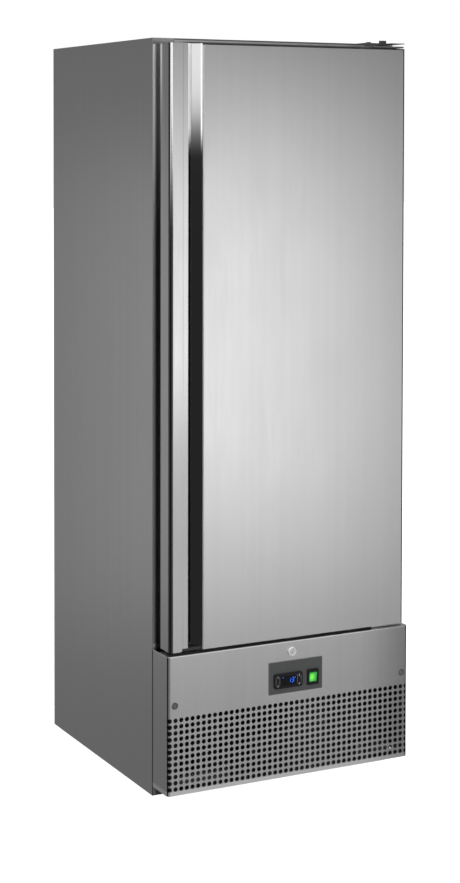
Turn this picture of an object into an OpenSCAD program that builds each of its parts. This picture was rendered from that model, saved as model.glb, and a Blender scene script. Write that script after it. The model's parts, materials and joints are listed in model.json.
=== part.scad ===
// Upright commercial refrigerator: one insulated door over a vent panel and a condensing unit.
// The front faces -Y, the right side is +X and +Z is up.
// The origin lies on the floor, below the middle of the whole object.

/* [Cabinet] */
// Width over the two side panels
cab_w = 700; // [660:1:780]
// Depth of the cabinet body behind the front flanges
cab_d = 657; // [640:1:760]
// Height of the cabinet body without its feet
cab_h = 1900; // [1860:1:2000]
// Thickness of the outer sheet metal
sheet_t = 1; // [0.8:0.1:1.4]
// Wall from the outer face to the storage space
wall_t = 60; // [56:1:66]
// Thickness of the inner liner
liner_t = 1; // [0.8:0.1:1.6]
// Width of the flange along the rear edge of a side panel
rear_flange_w = 15; // [12:1:20]
// How far the rear cover lies inside the rear face
rear_recess = 3; // [3:0.5:5]

/* [Feet] */
// Height of the cabinet underside above the floor
foot_h = 15; // [15:1:20]
// Diameter of the foot pad
foot_pad_d = 40; // [32:1:50]
// Height of the foot pad
foot_pad_h = 8; // [6:1:8]
// Diameter of the foot stud
foot_stud_d = 10; // [8:1:12]
// Distance from the cabinet edges to the foot centres
foot_inset = 60; // [50:1:80]
// Height of the nut welded over each foot hole
foot_nut_h = 16; // [12:1:20]
// How far a foot screws out
foot_travel = 12; // [8:1:14]

/* [Door] */
// How far the door edge lies inside the cabinet side
door_inset = 11; // [9:1:14]
// Distance from the cabinet front to the door front
door_reach = 81; // [78:1:90]
// Distance from the cabinet front to the rear edge of the door skin
door_gap = 23; // [20:1:26]
// How far the door top lies below the cabinet top
door_drop = 15.5; // [14:0.5:20]
// How far the door laps below the storage floor
door_lap = 34; // [30:1:38]
// Gap between the door and the vent panel
door_sill_gap = 6.6; // [6:0.1:8]
// Radius of the vertical door edges
door_edge_r = 7; // [5:0.5:8]
// Thickness of the door skin
skin_t = 1; // [0.8:0.1:1.2]
// Width of the fold at the rear edge of the door skin
skin_fold_w = 14; // [10:1:16]
// Thickness of the door's end caps
cap_t = 3; // [2:0.5:4]
// Widest opening angle of the door in degrees
door_open = 105; // [90:1:120]

/* [Handle] */
// Width of the grip from the door edge to the finger trough
grip_w = 35; // [30:1:42]
// Radius of the finger trough
trough_r = 27; // [24:1:30]
// Distance from the trough's axis to its flat right wall
trough_flat = 18.5; // [17:0.5:20]
// Angle between the trough's right wall and the door front in degrees
trough_slope = 34; // [28:1:38]
// Width of the lip that hangs over the trough
lip_w = 15; // [11:1:17]
// Thickness of the grip face and radius of the fold beside the trough
grip_t = 3.8; // [3:0.2:4.6]
// Wall of the handle profile
handle_t = 2; // [1.6:0.1:2.4]
// Height of the stop at the lower end of the trough
trough_stop_h = 8; // [6:1:12]
// How far the stop lies behind the door front
stop_setback = 2; // [1:0.5:3]

/* [Gasket] */
// Width of the gasket strip
gasket_w = 16; // [12:1:18]
// Distance from the cabinet mouth to the gasket
gasket_margin = 5; // [3:1:7]
// How far the gasket rim stands out of the door liner
rim_h = 9; // [7:1:11]
// Extra width of the gasket rim on each side
rim_extra = 2; // [1:0.5:3]
// Depth of the bellows groove in the gasket
gasket_groove = 3; // [2:0.5:4]

/* [Vent panel] */
// How far the panel edge lies inside the cabinet side
panel_inset = 1; // [0.5:0.5:2]
// Distance from the cabinet front to the panel front
panel_reach = 88.5; // [86:0.5:96]
// Height of the panel's lower edge above the cabinet underside
panel_lift = 23.4; // [18:0.2:30]
// Height of the panel
panel_h = 348; // [340:1:360]
// Sheet thickness of the panel
panel_t = 1.2; // [1:0.1:1.5]
// Radius of the vertical panel edges
panel_edge_r = 8.5; // [6:0.5:9]
// Depth of the folds along the top and bottom of the panel
panel_fold_d = 58; // [50:1:58]
// Diameter of a vent hole
vent_hole_d = 10.6; // [6:0.1:11]
// Distance between vent holes
vent_pitch = 15.6; // [15:0.1:15.9]
// Number of vent holes in a row
vent_cols = 41; // [11:1:41]
// Number of rows of vent holes
vent_rows = 12; // [4:1:12]
// Height of the lowest row above the panel's lower edge
vent_lift = 16.5; // [15:0.5:24]
// Diameter of the caps on the panel screws
panel_cap_d = 18; // [14:1:20]
// Height of the dome on a panel screw
panel_cap_h = 4.5; // [3:0.5:5]
// Distance from the cabinet side to a panel screw
panel_screw_x = 20.2; // [20:0.2:32]
// Height of the panel screws above the panel's lower edge
panel_screw_lift = 224.8; // [215:0.2:235]
// Diameter of a panel screw's shank
panel_shank_d = 8; // [6:1:9]

/* [Controls] */
// Width of the control plate
plate_w = 157; // [150:0.5:165]
// Height of the control plate
plate_h = 83.5; // [80:0.5:86]
// Thickness of the control plate
plate_t = 1.5; // [1:0.1:2]
// Corner radius of the control plate
plate_r = 3; // [1:0.5:4]
// Distance of the plate's middle to the right of the cabinet middle
plate_x = 11.1; // [0:0.1:20]
// Height of the plate's middle over the panel's upper edge, negative below it
plate_lift = -90.5; // [-94:0.5:-86]
// How far the thermostat and the switch lie below the plate's middle
control_drop = 8.5; // [6:0.5:12]
// Width of the thermostat bezel
thermo_w = 82; // [80:0.5:86]
// Height of the thermostat bezel
thermo_h = 37.4; // [35:0.2:38]
// Distance of the thermostat to the left of the plate's middle
thermo_x = 22.5; // [21.5:0.1:23.5]
// Height of the thermostat bezel above the plate
thermo_proud = 4; // [3:0.5:4.5]
// Corner radius of the thermostat bezel
thermo_r = 6; // [3:0.5:8]
// Width and height of the thermostat body behind the panel
thermo_body = [71, 29]; // [20:1:74]
// Depth of the thermostat body behind the plate
thermo_depth = 62; // [50:1:66]
// Width and height of the display window
window_size = [46, 25]; // [20:1:50]
// Width and height of a thermostat key
key_size = [10, 12]; // [6:1:12]
// Distance from the thermostat's middle to each column of keys
key_x = 31; // [30.4:0.2:32]
// Distance between the two keys of a column
key_pitch = 16; // [14:0.5:16.5]
// Height of a key above the bezel
key_proud = 0.9; // [0.6:0.1:1.2]
// Travel of a key
key_travel = 0.6; // [0.3:0.1:0.8]
// Width and height of the switch bezel
switch_size = [33.2, 40.2]; // [30:0.1:42]
// Distance of the switch to the right of the plate's middle
switch_x = 49.8; // [48:0.2:51]
// Height of the switch bezel above the plate
switch_proud = 3; // [2:0.5:4]
// Depth of the switch body behind the plate
switch_depth = 30; // [26:1:36]
// How far the wings of the rocker stand before its bezel when level
rocker_proud = 0.8; // [0.4:0.1:1]
// Depth of the hollow across the rocker's face
rocker_dish = 0.8; // [0:0.1:1.2]
// Width of the rocker
rocker_w = 21; // [18:1:23]
// Radius of the arc in which the rocker turns
rocker_r = 13.8; // [12:0.2:14.4]
// Tilt of the rocker to each side in degrees
rocker_tilt = 8; // [5:1:10]
// Diameter of the rocker's pivot
rocker_pin_d = 4; // [3:0.5:5]

/* [Lock] */
// Diameter of the lock ring
lock_ring_d = 24; // [21:1:27]
// Height of the lock ring above the panel
lock_proud = 7; // [6.5:0.5:9]
// Diameter of the lock barrel
lock_barrel_d = 19; // [18:0.5:20]
// Length of the lock barrel behind the panel front
lock_barrel_l = 24; // [22:1:26]
// Diameter of the key plug
lock_plug_d = 14; // [12:0.5:15]
// Height of the lock over the panel's upper edge, negative below it
lock_lift = -26.2; // [-30:0.2:-24]
// Width of the locking cam
cam_w = 14; // [10:1:16]
// Thickness of the locking cam
cam_t = 3; // [2:0.5:4]
// How far the locked cam reaches into the door
cam_grip = 11; // [8:1:12]

/* [Hinges] */
// Diameter of the hinge pins
pin_d = 10; // [8:1:12]
// Distance from the door's right edge to the pin
pin_inset = 18; // [16:1:20]
// Distance from the door front to the pin
pin_setback = 29; // [26:1:31]
// How deep the pins reach into the door
pin_depth = 20; // [16:1:24]
// Outer diameter of the hinge bushes
bush_d = 16; // [15:1:18]
// Length of the leaf above and below the door, from its right end
leaf_w = 91; // [80:1:100]
// Distance from the door front to the hinge leaf
leaf_setback = 9; // [6:1:10]
// Thickness of the upper hinge leaf
top_leaf_t = 4; // [3:0.5:5]
// Gap between the door and the upper hinge leaf
top_leaf_gap = 2.5; // [2:0.5:4]
// Thickness of the lower hinge leaf
bottom_leaf_t = 4; // [3:0.5:4.4]
// Depth of the hinge plate on top of the cabinet
top_plate_d = 45; // [40:1:60]
// Thickness of the hinge plate on top of the cabinet
top_plate_t = 2.5; // [2:0.5:4]
// Height of the largest hinge bolt head
big_head_h = 7.5; // [6:0.5:9]

/* [Shelves] */
// Depth of a shelf
shelf_d = 530; // [400:5:540]
// Diameter of the shelf frame wire
frame_wire_d = 8; // [6:1:9]
// Diameter of the cross wires
cross_wire_d = 4; // [3:0.5:5]
// Radius of the bends at the shelf corners
shelf_bend = 18; // [12:1:20]
// Number of long wires in a shelf
long_wires = 18; // [10:1:20]
// Height of the lowest shelf above the storage floor
first_shelf = 190; // [150:5:220]
// Distance between shelves
shelf_pitch = 285; // [220:5:290]
// How far a shelf slides forward to its stop
shelf_travel = 40; // [20:1:45]
// Height of a shelf runner
runner_h = 16; // [12:1:20]
// Width of the ledge of a shelf runner
runner_w = 18; // [14:1:22]
// Thickness of a shelf runner
runner_t = 1.5; // [1:0.1:2]
// Depth of the slotted rails on the liner
rail_t = 4; // [3:0.5:6]
// Width of the slotted rails
rail_w = 22; // [18:1:26]

/* [Evaporator] */
// Width of the evaporator cover
evap_w = 500; // [440:5:540]
// Height of the evaporator cover
evap_h = 140; // [130:1:150]
// Depth of the evaporator cover
evap_d = 240; // [220:5:260]
// Sheet thickness of the evaporator cover
evap_t = 1.5; // [1:0.1:2]
// Diameter of the evaporator fan
evap_fan_d = 104; // [90:1:110]
// Number of fins in the evaporator
evap_fins = 25; // [10:1:30]

/* [Condensing unit] */
// Diameter of the compressor shell
comp_d = 150; // [130:1:160]
// Height of the compressor shell
comp_h = 165; // [140:1:180]
// Width of the condenser
cond_w = 290; // [260:5:300]
// Height of the condenser
cond_h = 264; // [250:2:280]
// Number of fins in the condenser
cond_fins = 25; // [10:1:30]
// Number of tube passes in the condenser
cond_passes = 6; // [4:2:6]
// Diameter of the condenser tube
cond_tube_d = 9; // [7:0.5:10]
// Diameter of the condenser fan
fan_d = 220; // [180:5:230]
// Thickness of the sheet in the machine compartment
deck_t = 2; // [1.5:0.5:3]

/* [Fits] */
// Radial clearance of a turning or sliding shaft
run_fit = 0.05; // [0.03:0.01:0.08]
// Clearance between fixed pieces that fit into each other
fixed_fit = 0.1; // [0.05:0.05:0.2]
// Clearance between separate moving pieces
free_gap = 0.3; // [0.2:0.1:0.5]

/* [Hidden] */
$fn = 48;
eps = 0.01;
fins_t = 0.6;

// Overall frame
front_reach = panel_reach + lock_proud;
y_front = (front_reach - cab_d) / 2;
y_back = y_front + cab_d;
x_side = cab_w / 2;
x_in = x_side - wall_t;
z_base = foot_h;
z_top = z_base + cab_h;
z_panel_b = z_base + panel_lift;
z_panel_t = z_panel_b + panel_h;
z_door_b = z_panel_t + door_sill_gap;
z_door_t = z_top - door_drop;
z_floor = z_door_b + door_lap;
z_ceiling = z_top - wall_t;
z_deck = z_floor - wall_t;
y_cavity = y_back - wall_t;
y_cover = y_back - rear_recess - sheet_t;

// Door and handle
y_door_f = y_front - door_reach;
y_door_b = y_front - door_gap;
x_door_l = -x_side + door_inset;
x_door_r = x_side - door_inset;
x_grip = x_door_l + grip_w;
x_trough = x_grip + trough_r;
x_lip = x_grip + lip_w;
x_skin = x_trough + trough_r + grip_t;
pin_x = x_door_r - pin_inset;
pin_y = y_door_f + pin_setback;
leaf_x = x_door_r - leaf_w;
z_top_leaf = z_door_t + top_leaf_gap;
z_bottom_leaf = z_door_b - 1.3;
top_bolts = [[leaf_x + 36, y_front + 14, 8, 13, 3], [x_door_r - 12, y_front + 13, 10, 19, big_head_h]];
bottom_bolt_x = [leaf_x + 22, leaf_x + 36];
gasket_in = x_in + gasket_margin;
gasket_out = gasket_in + gasket_w;
gasket_z = [z_floor - gasket_margin - gasket_w, z_ceiling + gasket_margin + gasket_w];

// Vent panel, controls and lock
y_panel = y_front - panel_reach;
y_plate = y_panel - plate_t;
x_panel = x_side - panel_inset;
x_screw = x_side - panel_screw_x;
z_plate = z_panel_t + plate_lift;
z_controls = z_plate - control_drop;
thermo_c = plate_x - thermo_x;
switch_c = plate_x + switch_x;
y_bezel = y_plate - thermo_proud;
y_switch = y_plate - switch_proud;
y_pivot = y_switch + 6.5;
z_lock = z_panel_t + lock_lift;
y_cam = y_panel + lock_barrel_l + free_gap;
cam_l = z_door_b + cam_grip - z_lock;
cam_reach = sqrt(cam_l * cam_l + cam_w * cam_w / 4);
pocket_h = cam_grip + 2;
switch_body = [rocker_w + 6, 2 * rocker_r + 6];
window_t = 1.2;
key_well = thermo_proud - free_gap;
clip_x = x_side - 150;
clip_y = y_panel + 40;

// Inside
z_shelf = [for (i = [0:3]) z_floor + first_shelf + i * shelf_pitch];
y_shelf_back = y_cavity - 8;
y_shelf_front = y_shelf_back - shelf_d;
rail_y = [y_front + 110, y_cavity - 90];
rail_slots = 19;
rail_slot_pitch = 60;
runner_y = [y_front + 50, y_cavity - 10];
y_evap = y_cavity - evap_d;
z_evap = z_ceiling - evap_h;
evap_fan_z = z_evap + evap_h / 2 + 4;
y_evap_fan = y_evap + 16;
guard_t = 2.4;

// Machine compartment
z_deck_floor = z_base + deck_t;
y_cond = y_front + 22;
cond_d = 56;
cond_x = [-x_side + 34, -x_side + 34 + cond_w];
cond_z = [z_deck_floor + 24, z_deck_floor + 24 + cond_h];
y_shroud = y_cond + cond_d;
shroud_d = 22;
fan_x = cond_x[0] + cond_w / 2;
fan_z = cond_z[0] + cond_h / 2 + 2;
y_fan = y_shroud + shroud_d + 8;
comp_side = 190;
comp_rear = 230;
comp_rise = 12;
comp_plate = [220, 120, 3];
mount_pitch = [190, 90];
comp_x = x_side - comp_side;
comp_y = y_back - comp_rear;
comp_z = z_deck_floor + comp_rise;
z_comp_plate = comp_z + comp_plate[2];
z_comp_top = comp_z + 6 + comp_h;
comp_foot_x = [comp_x - mount_pitch[0] / 2, comp_x + mount_pitch[0] / 2];
comp_foot_y = [comp_y - mount_pitch[1] / 2, comp_y + mount_pitch[1] / 2];
mount_r = 8;
mount_pin_r = 4;
shaft_r = 3;
hub_r = 26;
hub_l = 28;
shaft_l = 54;
motor_r = 38;
motor_l = 60;
y_motor = y_fan + hub_l + 6;
tray_size = [210, 190, 50];
tray_wall = 2;
tray_clear = 20;
tray_x = [-x_side + foot_inset + tray_clear, -x_side + foot_inset + tray_clear + tray_size[0]];
tray_y = [y_cavity - tray_size[1], y_cavity];
cover_cols = 24;
cover_pitch = 20;
cover_slot_w = 8;
cover_slot_h = 80;
inlet_x = x_side - 60;
inlet_z = z_base + 60;
inlet_cut = [30, 24];

// Pipes
drain_r = 8;
y_riser = y_cavity + wall_t / 2 - 4;
liquid_x = -evap_w / 2 + 8;
suction_x = -evap_w / 2 + 20;
pipe_spacing = 50;
drain_x = suction_x + pipe_spacing;
riser_gap_x = [liquid_x - 6, suction_x + 8];
riser_gap_y = [y_riser - 12, y_riser + 12];
z_pan = z_evap + evap_t + 2;

// Shared shapes
module block(x, y, z) {
    translate([x[0], y[0], z[0]])
        cube([x[1] - x[0], y[1] - y[0], z[1] - z[0]]);
}

module rod_x(x, y, z, r) {
    translate([x[0], y, z])
        rotate([0, 90, 0])
            cylinder(h = x[1] - x[0], r = r);
}

module rod_y(x, y, z, r) {
    translate([x, y[0], z])
        rotate([-90, 0, 0])
            cylinder(h = y[1] - y[0], r = r);
}

module rod_z(x, y, z, r) {
    translate([x, y, z[0]])
        cylinder(h = z[1] - z[0], r = r);
}

module hex_z(x, y, z, across) {
    translate([x, y, z[0]])
        cylinder(h = z[1] - z[0], d = across / cos(30), $fn = 6);
}

module leg(a, b, r) {
    v = b - a;
    run = norm(v);
    translate(a)
        rotate([0, acos(v[2] / run), atan2(v[1], v[0])])
            cylinder(h = run, r = r);
}

module pipe_run(points, r) {
    for (i = [0:len(points) - 2])
        leg(points[i], points[i + 1], r);
    for (i = [1:len(points) - 2])
        translate(points[i])
            sphere(r = r + 0.05);
}

module round_rect(w, h, r) {
    square([w - 2 * r, h], center = true);
    square([w, h - 2 * r], center = true);
    for (x = [-1, 1], z = [-1, 1])
        translate([x * (w / 2 - r), z * (h / 2 - r)])
            circle(r = r);
}

module face_plate(x, y, z, size, r) {
    translate([x, y[1], z])
        rotate([90, 0, 0])
            linear_extrude(y[1] - y[0])
                round_rect(size[0], size[1], r);
}

module upright(z) {
    translate([0, 0, z[0]])
        linear_extrude(z[1] - z[0])
            children();
}

module at_feet() {
    for (x = [-1, 1], y = [y_front + foot_inset, y_back - foot_inset])
        translate([x * (x_side - foot_inset), y, 0])
            children();
}

// Cabinet shell
module side_panel() {
    color("gainsboro") {
        block([-x_side, -x_side + sheet_t], [y_front, y_back], [z_base, z_top]);
        block([-x_side, -x_in], [y_front, y_front + sheet_t], [z_base, z_top]);
        block([-x_side, -x_side + rear_flange_w], [y_back - sheet_t, y_back], [z_base, z_top]);
    }
}

module side_panel_left() side_panel();

module side_panel_right() mirror([1, 0, 0]) side_panel();

module top_panel() {
    color("gainsboro")
        difference() {
            union() {
                block([-x_side + sheet_t, x_side - sheet_t], [y_front + sheet_t, y_back - sheet_t],
                    [z_top - sheet_t, z_top]);
                block([-x_in, x_in], [y_front, y_front + sheet_t], [z_ceiling, z_top]);
            }
            top_bolt_holes();
        }
}

module back_panel() {
    x_edge = x_side - rear_flange_w;
    color("gray")
        block([-x_edge, x_edge], [y_back - sheet_t, y_back], [z_deck, z_top]);
}

module cabinet_foam() {
    x_foam = x_side - sheet_t;
    color("khaki")
        difference() {
            block([-x_foam, x_foam], [y_front + sheet_t, y_back - sheet_t],
                [z_deck + sheet_t, z_top - sheet_t]);
            block([-x_in - liner_t, x_in + liner_t], [y_front, y_cavity + liner_t],
                [z_floor - liner_t, z_ceiling + liner_t]);
            top_bolt_holes();
            bottom_bolt_holes();
            rod_z(drain_x, y_cavity + wall_t / 2, [z_deck, z_evap + 30], drain_r + fixed_fit);
            rod_y(drain_x, [y_cavity, y_cavity + wall_t / 2], z_evap + 20, drain_r + fixed_fit);
            block(riser_gap_x, riser_gap_y, [z_deck, z_evap + 90]);
            block(riser_gap_x, [y_cavity, riser_gap_y[1]], [z_evap + 40, z_evap + 90]);
        }
}

module inner_liner() {
    color("whitesmoke")
        difference() {
            block([-x_in - liner_t, x_in + liner_t], [y_front + sheet_t, y_cavity + liner_t],
                [z_floor - liner_t, z_ceiling + liner_t]);
            block([-x_in, x_in], [y_front, y_cavity], [z_floor, z_ceiling]);
            rod_y(drain_x, [y_cavity - eps, y_cavity + liner_t + eps], z_evap + 20,
                drain_r + fixed_fit);
            block(riser_gap_x, [y_cavity - eps, y_cavity + liner_t + eps],
                [z_evap + 40, z_evap + 90]);
        }
}

module lower_rail() {
    x_edge = x_side - rear_flange_w;
    color("gray")
        difference() {
            union() {
                block([-x_in, x_in], [y_front, y_front + sheet_t], [z_deck, z_floor]);
                block([-x_side + sheet_t, x_side - sheet_t], [y_front + sheet_t, y_back - sheet_t],
                    [z_deck, z_deck + sheet_t]);
                block([-x_edge, x_edge], [y_cover - deck_t, y_cover], [z_deck - 20, z_deck]);
            }
            bottom_bolt_holes();
            rod_z(drain_x, y_cavity + wall_t / 2, [z_deck - 1, z_deck + 2], drain_r + fixed_fit);
            block(riser_gap_x, riser_gap_y, [z_deck - 1, z_deck + 2]);
        }
}

module base_tray() {
    x_edge = x_side - rear_flange_w;
    color("darkgray")
        difference() {
            union() {
                block([-x_side + sheet_t, x_side - sheet_t], [y_front + sheet_t, y_cover],
                    [z_base, z_deck_floor]);
                block([-x_in, x_in], [y_front + sheet_t, y_front + sheet_t + deck_t],
                    [z_base, z_base + 14]);
                block([-x_edge, x_edge], [y_cover - deck_t, y_cover], [z_base, z_base + 25]);
                at_feet()
                    cylinder(h = z_deck_floor + foot_nut_h, d = foot_stud_d + 12);
            }
            block([-x_side, x_side], [y_front - 1, y_back + 1], [-1, z_base]);
            at_feet()
                cylinder(h = z_deck_floor + foot_nut_h + 1, r = foot_stud_d / 2 + run_fit);
            for (x = comp_foot_x, y = comp_foot_y)
                rod_z(x, y, [z_base - 1, z_deck_floor + 1], mount_pin_r + fixed_fit);
        }
}

module foot(x, y) {
    color("dimgray")
        translate([x * (x_side - foot_inset), y < 0 ? y_front + foot_inset : y_back - foot_inset, 0]) {
            cylinder(h = foot_pad_h - 2, d = foot_pad_d);
            translate([0, 0, foot_pad_h - 2])
                cylinder(h = 2, d1 = foot_pad_d, d2 = foot_pad_d - 8);
            cylinder(h = z_deck_floor + foot_nut_h + 4, d = foot_stud_d);
            hex_z(0, 0, [foot_pad_h, foot_pad_h + (z_base - foot_pad_h) * 0.6], foot_stud_d + 6);
        }
}

module foot_front_left() foot(-1, -1);

module foot_front_right() foot(1, -1);

module foot_rear_left() foot(-1, 1);

module foot_rear_right() foot(1, 1);

module rear_cover() {
    x_edge = x_side - rear_flange_w;
    z_cover = [z_base + 4, z_deck - 2];
    color("gray")
        difference() {
            block([-x_edge + fixed_fit, x_edge - fixed_fit], [y_cover, y_cover + sheet_t], z_cover);
            for (col = [0:cover_cols - 1], row = [0:1])
                translate([(col - (cover_cols - 1) / 2) * cover_pitch, 0, z_base + 95 + row * 110])
                    block([-cover_slot_w / 2, cover_slot_w / 2], [y_cover - 1, y_back + 1],
                        [0, cover_slot_h]);
            face_plate(inlet_x, [y_cover - 1, y_back + 1], inlet_z, inlet_cut, 2);
        }
}

module power_inlet() {
    color("black")
        difference() {
            union() {
                face_plate(inlet_x, [y_cover - 22, y_cover + sheet_t], inlet_z,
                    inlet_cut - [2, 2] * fixed_fit, 2);
                face_plate(inlet_x, [y_cover + sheet_t, y_back - 0.2], inlet_z,
                    inlet_cut + [8, 8], 4);
            }
            face_plate(inlet_x, [y_back - 18, y_back + 1], inlet_z, inlet_cut - [6, 6], 3);
        }
    color("silver")
        for (pin = [[-7, -2], [0, 3], [7, -2]])
            block([inlet_x + pin[0] - 1, inlet_x + pin[0] + 1], [y_back - 19, y_back - 5],
                [inlet_z + pin[1] - 2, inlet_z + pin[1] + 2]);
}

// Vent panel
module panel_outline(inset) {
    r = panel_edge_r - inset;
    x = x_panel - inset;
    y = y_panel + inset;
    translate([-x, y + r])
        square([2 * x, y_front - y - r + inset]);
    translate([-x + r, y])
        square([2 * x - 2 * r, r]);
    for (side = [-1, 1])
        translate([side * (x - r), y + r])
            circle(r = r);
}

module panel_fold() {
    intersection() {
        panel_outline(panel_t / 2);
        translate([-x_side, y_panel])
            square([2 * x_side, panel_fold_d]);
    }
}

module cam_slot(z, margin) {
    sweep = sqrt(cam_reach * cam_reach - (z[0] - z_lock) * (z[0] - z_lock));
    block([-cam_w / 2 - margin, sweep + margin], [y_cam - margin, y_cam + cam_t + margin], z);
}

module grille_panel() {
    color("silver")
        difference() {
            union() {
                upright([z_panel_b, z_panel_t])
                    difference() {
                        panel_outline(0);
                        panel_outline(panel_t);
                    }
                upright([z_panel_b, z_panel_b + panel_t])
                    panel_fold();
                upright([z_panel_t - panel_t, z_panel_t])
                    panel_fold();
            }
            for (col = [0:vent_cols - 1], row = [0:vent_rows - 1])
                rod_y((col - (vent_cols - 1) / 2) * vent_pitch, [y_panel - 1, y_panel + panel_t + 1],
                    z_panel_b + vent_lift + row * vent_pitch, vent_hole_d / 2);
            for (x = [-x_screw, x_screw])
                rod_y(x, [y_panel - 1, y_panel + panel_t + 1], z_panel_b + panel_screw_lift,
                    panel_shank_d / 2 + fixed_fit);
            rod_y(0, [y_panel - 1, y_panel + panel_t + 1], z_lock, lock_barrel_d / 2 + fixed_fit);
            face_plate(thermo_c, [y_panel - 1, y_panel + panel_t + 1], z_controls,
                thermo_body + [2, 2] * fixed_fit, 1.5);
            face_plate(switch_c, [y_panel - 1, y_panel + panel_t + 1], z_controls,
                switch_body + [2, 2] * fixed_fit, 1.5);
            cam_slot([z_panel_t - panel_t - eps, z_panel_t + 1], 1.5);
            rod_z(clip_x, clip_y, [z_panel_t - panel_t - 1, z_panel_t + 1], 3 + fixed_fit);
        }
}

module panel_screws() {
    color("dimgray")
        for (x = [-x_screw, x_screw]) {
            z = z_panel_b + panel_screw_lift;
            dome_r = (panel_cap_d * panel_cap_d / 4 + panel_cap_h * panel_cap_h) / (2 * panel_cap_h);
            rod_y(x, [y_panel - eps, y_front], z, panel_shank_d / 2);
            intersection() {
                translate([x, y_panel - panel_cap_h + dome_r, z])
                    sphere(r = dome_r);
                rod_y(x, [y_panel - panel_cap_h - 1, y_panel], z, panel_cap_d / 2);
            }
        }
}

module panel_clip() {
    color("white") {
        block([clip_x - 14, clip_x + 14], [clip_y - 5, clip_y + 5], [z_panel_t, z_panel_t + 3]);
        rod_z(clip_x, clip_y, [z_panel_t - panel_t - 4, z_panel_t + 1], 3);
    }
}

// Controls
module control_plate() {
    color("dimgray")
        difference() {
            face_plate(plate_x, [y_plate, y_panel], z_plate, [plate_w, plate_h], plate_r);
            face_plate(thermo_c, [y_plate - 1, y_panel + 1], z_controls,
                thermo_body + [2, 2] * fixed_fit, 1.5);
            face_plate(switch_c, [y_plate - 1, y_panel + 1], z_controls,
                switch_body + [2, 2] * fixed_fit, 1.5);
        }
}

module thermostat_case() {
    color("black")
        difference() {
            union() {
                face_plate(thermo_c, [y_bezel, y_plate], z_controls, [thermo_w, thermo_h], thermo_r);
                face_plate(thermo_c, [y_plate - eps, y_plate + thermo_depth], z_controls,
                    thermo_body, 1.5);
            }
            face_plate(thermo_c, [y_bezel - 1, y_bezel + window_t], z_controls,
                window_size + [2, 2] * fixed_fit, 2);
            for (x = [-1, 1], z = [-1, 1])
                face_plate(thermo_c + x * key_x, [y_bezel - 1, y_bezel + key_well], z_controls
                    + z * key_pitch / 2, key_size + [2, 2] * free_gap, 2);
        }
}

module display_window() {
    color([0.05, 0.05, 0.08])
        face_plate(thermo_c, [y_bezel, y_bezel + window_t], z_controls, window_size, 2);
}

module key(x, z) {
    color([0.12, 0.12, 0.13])
        face_plate(thermo_c + x * key_x, [y_bezel - key_proud, y_bezel + key_well - key_travel
            - free_gap], z_controls + z * key_pitch / 2, key_size, 2);
}

module key_set() key(-1, 1);

module key_light() key(-1, -1);

module key_up() key(1, 1);

module key_down() key(1, -1);

module switch_bezel() {
    color("black")
        difference() {
            union() {
                face_plate(switch_c, [y_switch, y_plate], z_controls, switch_size, 2);
                face_plate(switch_c, [y_plate - eps, y_plate + switch_depth], z_controls,
                    switch_body, 1.5);
            }
            block([switch_c - rocker_w / 2 - free_gap, switch_c + rocker_w / 2 + free_gap],
                [y_switch - 1, y_pivot + rocker_r + free_gap],
                [z_controls - rocker_r - free_gap, z_controls + rocker_r + free_gap]);
            rod_x([switch_c - rocker_w / 2 - 2, switch_c + rocker_w / 2 + 2], y_pivot, z_controls,
                rocker_pin_d / 2 + run_fit);
        }
}

module rocker() {
    face = y_pivot - y_switch + rocker_proud;
    top = sqrt(rocker_r * rocker_r - face * face);
    color("limegreen")
        translate([switch_c, y_pivot, z_controls])
            rotate([rocker_tilt, 0, 0]) {
                rotate([90, 0, 90])
                    translate([0, 0, -rocker_w / 2])
                        linear_extrude(rocker_w)
                            intersection() {
                                circle(r = rocker_r);
                                polygon([[-face, top], [-face + rocker_dish, 0], [-face, -top],
                                    [-face + 3, -rocker_r], [6, -rocker_r], [6, rocker_r],
                                    [-face + 3, rocker_r]]);
                            }
                rod_x([-rocker_w / 2 - 1.8, rocker_w / 2 + 1.8], 0, 0, rocker_pin_d / 2);
            }
}

// Lock
module lock_housing() {
    color("silver")
        difference() {
            union() {
                rod_y(0, [y_panel - lock_proud, y_panel - 1.5], z_lock, lock_ring_d / 2 - 1);
                rod_y(0, [y_panel - lock_proud + 1, y_panel], z_lock, lock_ring_d / 2);
                rod_y(0, [y_panel - eps, y_panel + lock_barrel_l], z_lock, lock_barrel_d / 2);
                rod_y(0, [y_panel + panel_t, y_panel + panel_t + 5], z_lock, lock_barrel_d / 2 + 3);
            }
            rod_y(0, [y_panel - lock_proud - 1, y_panel + lock_barrel_l + 1], z_lock,
                lock_plug_d / 2 + run_fit);
        }
}

module lock_plug() {
    color("gainsboro")
        difference() {
            union() {
                rod_y(0, [y_panel - lock_proud + 0.5, y_cam + cam_t / 2], z_lock, lock_plug_d / 2);
                block([1, cam_l], [y_cam, y_cam + cam_t], [z_lock - cam_w / 2, z_lock + cam_w / 2]);
                rod_y(0, [y_cam, y_cam + cam_t], z_lock, cam_w / 2 + 1);
                translate([0, y_cam + cam_t / 2, z_lock])
                    rotate([-90, 0, 0])
                        cylinder(h = cam_t / 2 + 4, d = 11.5, $fn = 6);
            }
            block([-0.8, 0.8], [y_panel - lock_proud - 1, y_panel - lock_proud + 5],
                [z_lock - 3.6, z_lock + 3.6]);
        }
}

// Hinges
module top_bolt_holes() {
    for (bolt = top_bolts)
        rod_z(bolt[0], bolt[1], [z_top - sheet_t - 6, z_top + 1], bolt[2] / 2 + fixed_fit);
}

module bottom_bolt_holes() {
    for (x = bottom_bolt_x)
        rod_y(x, [y_front - 1, y_front + sheet_t + 6], z_deck + 11, 3 + fixed_fit);
}

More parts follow.
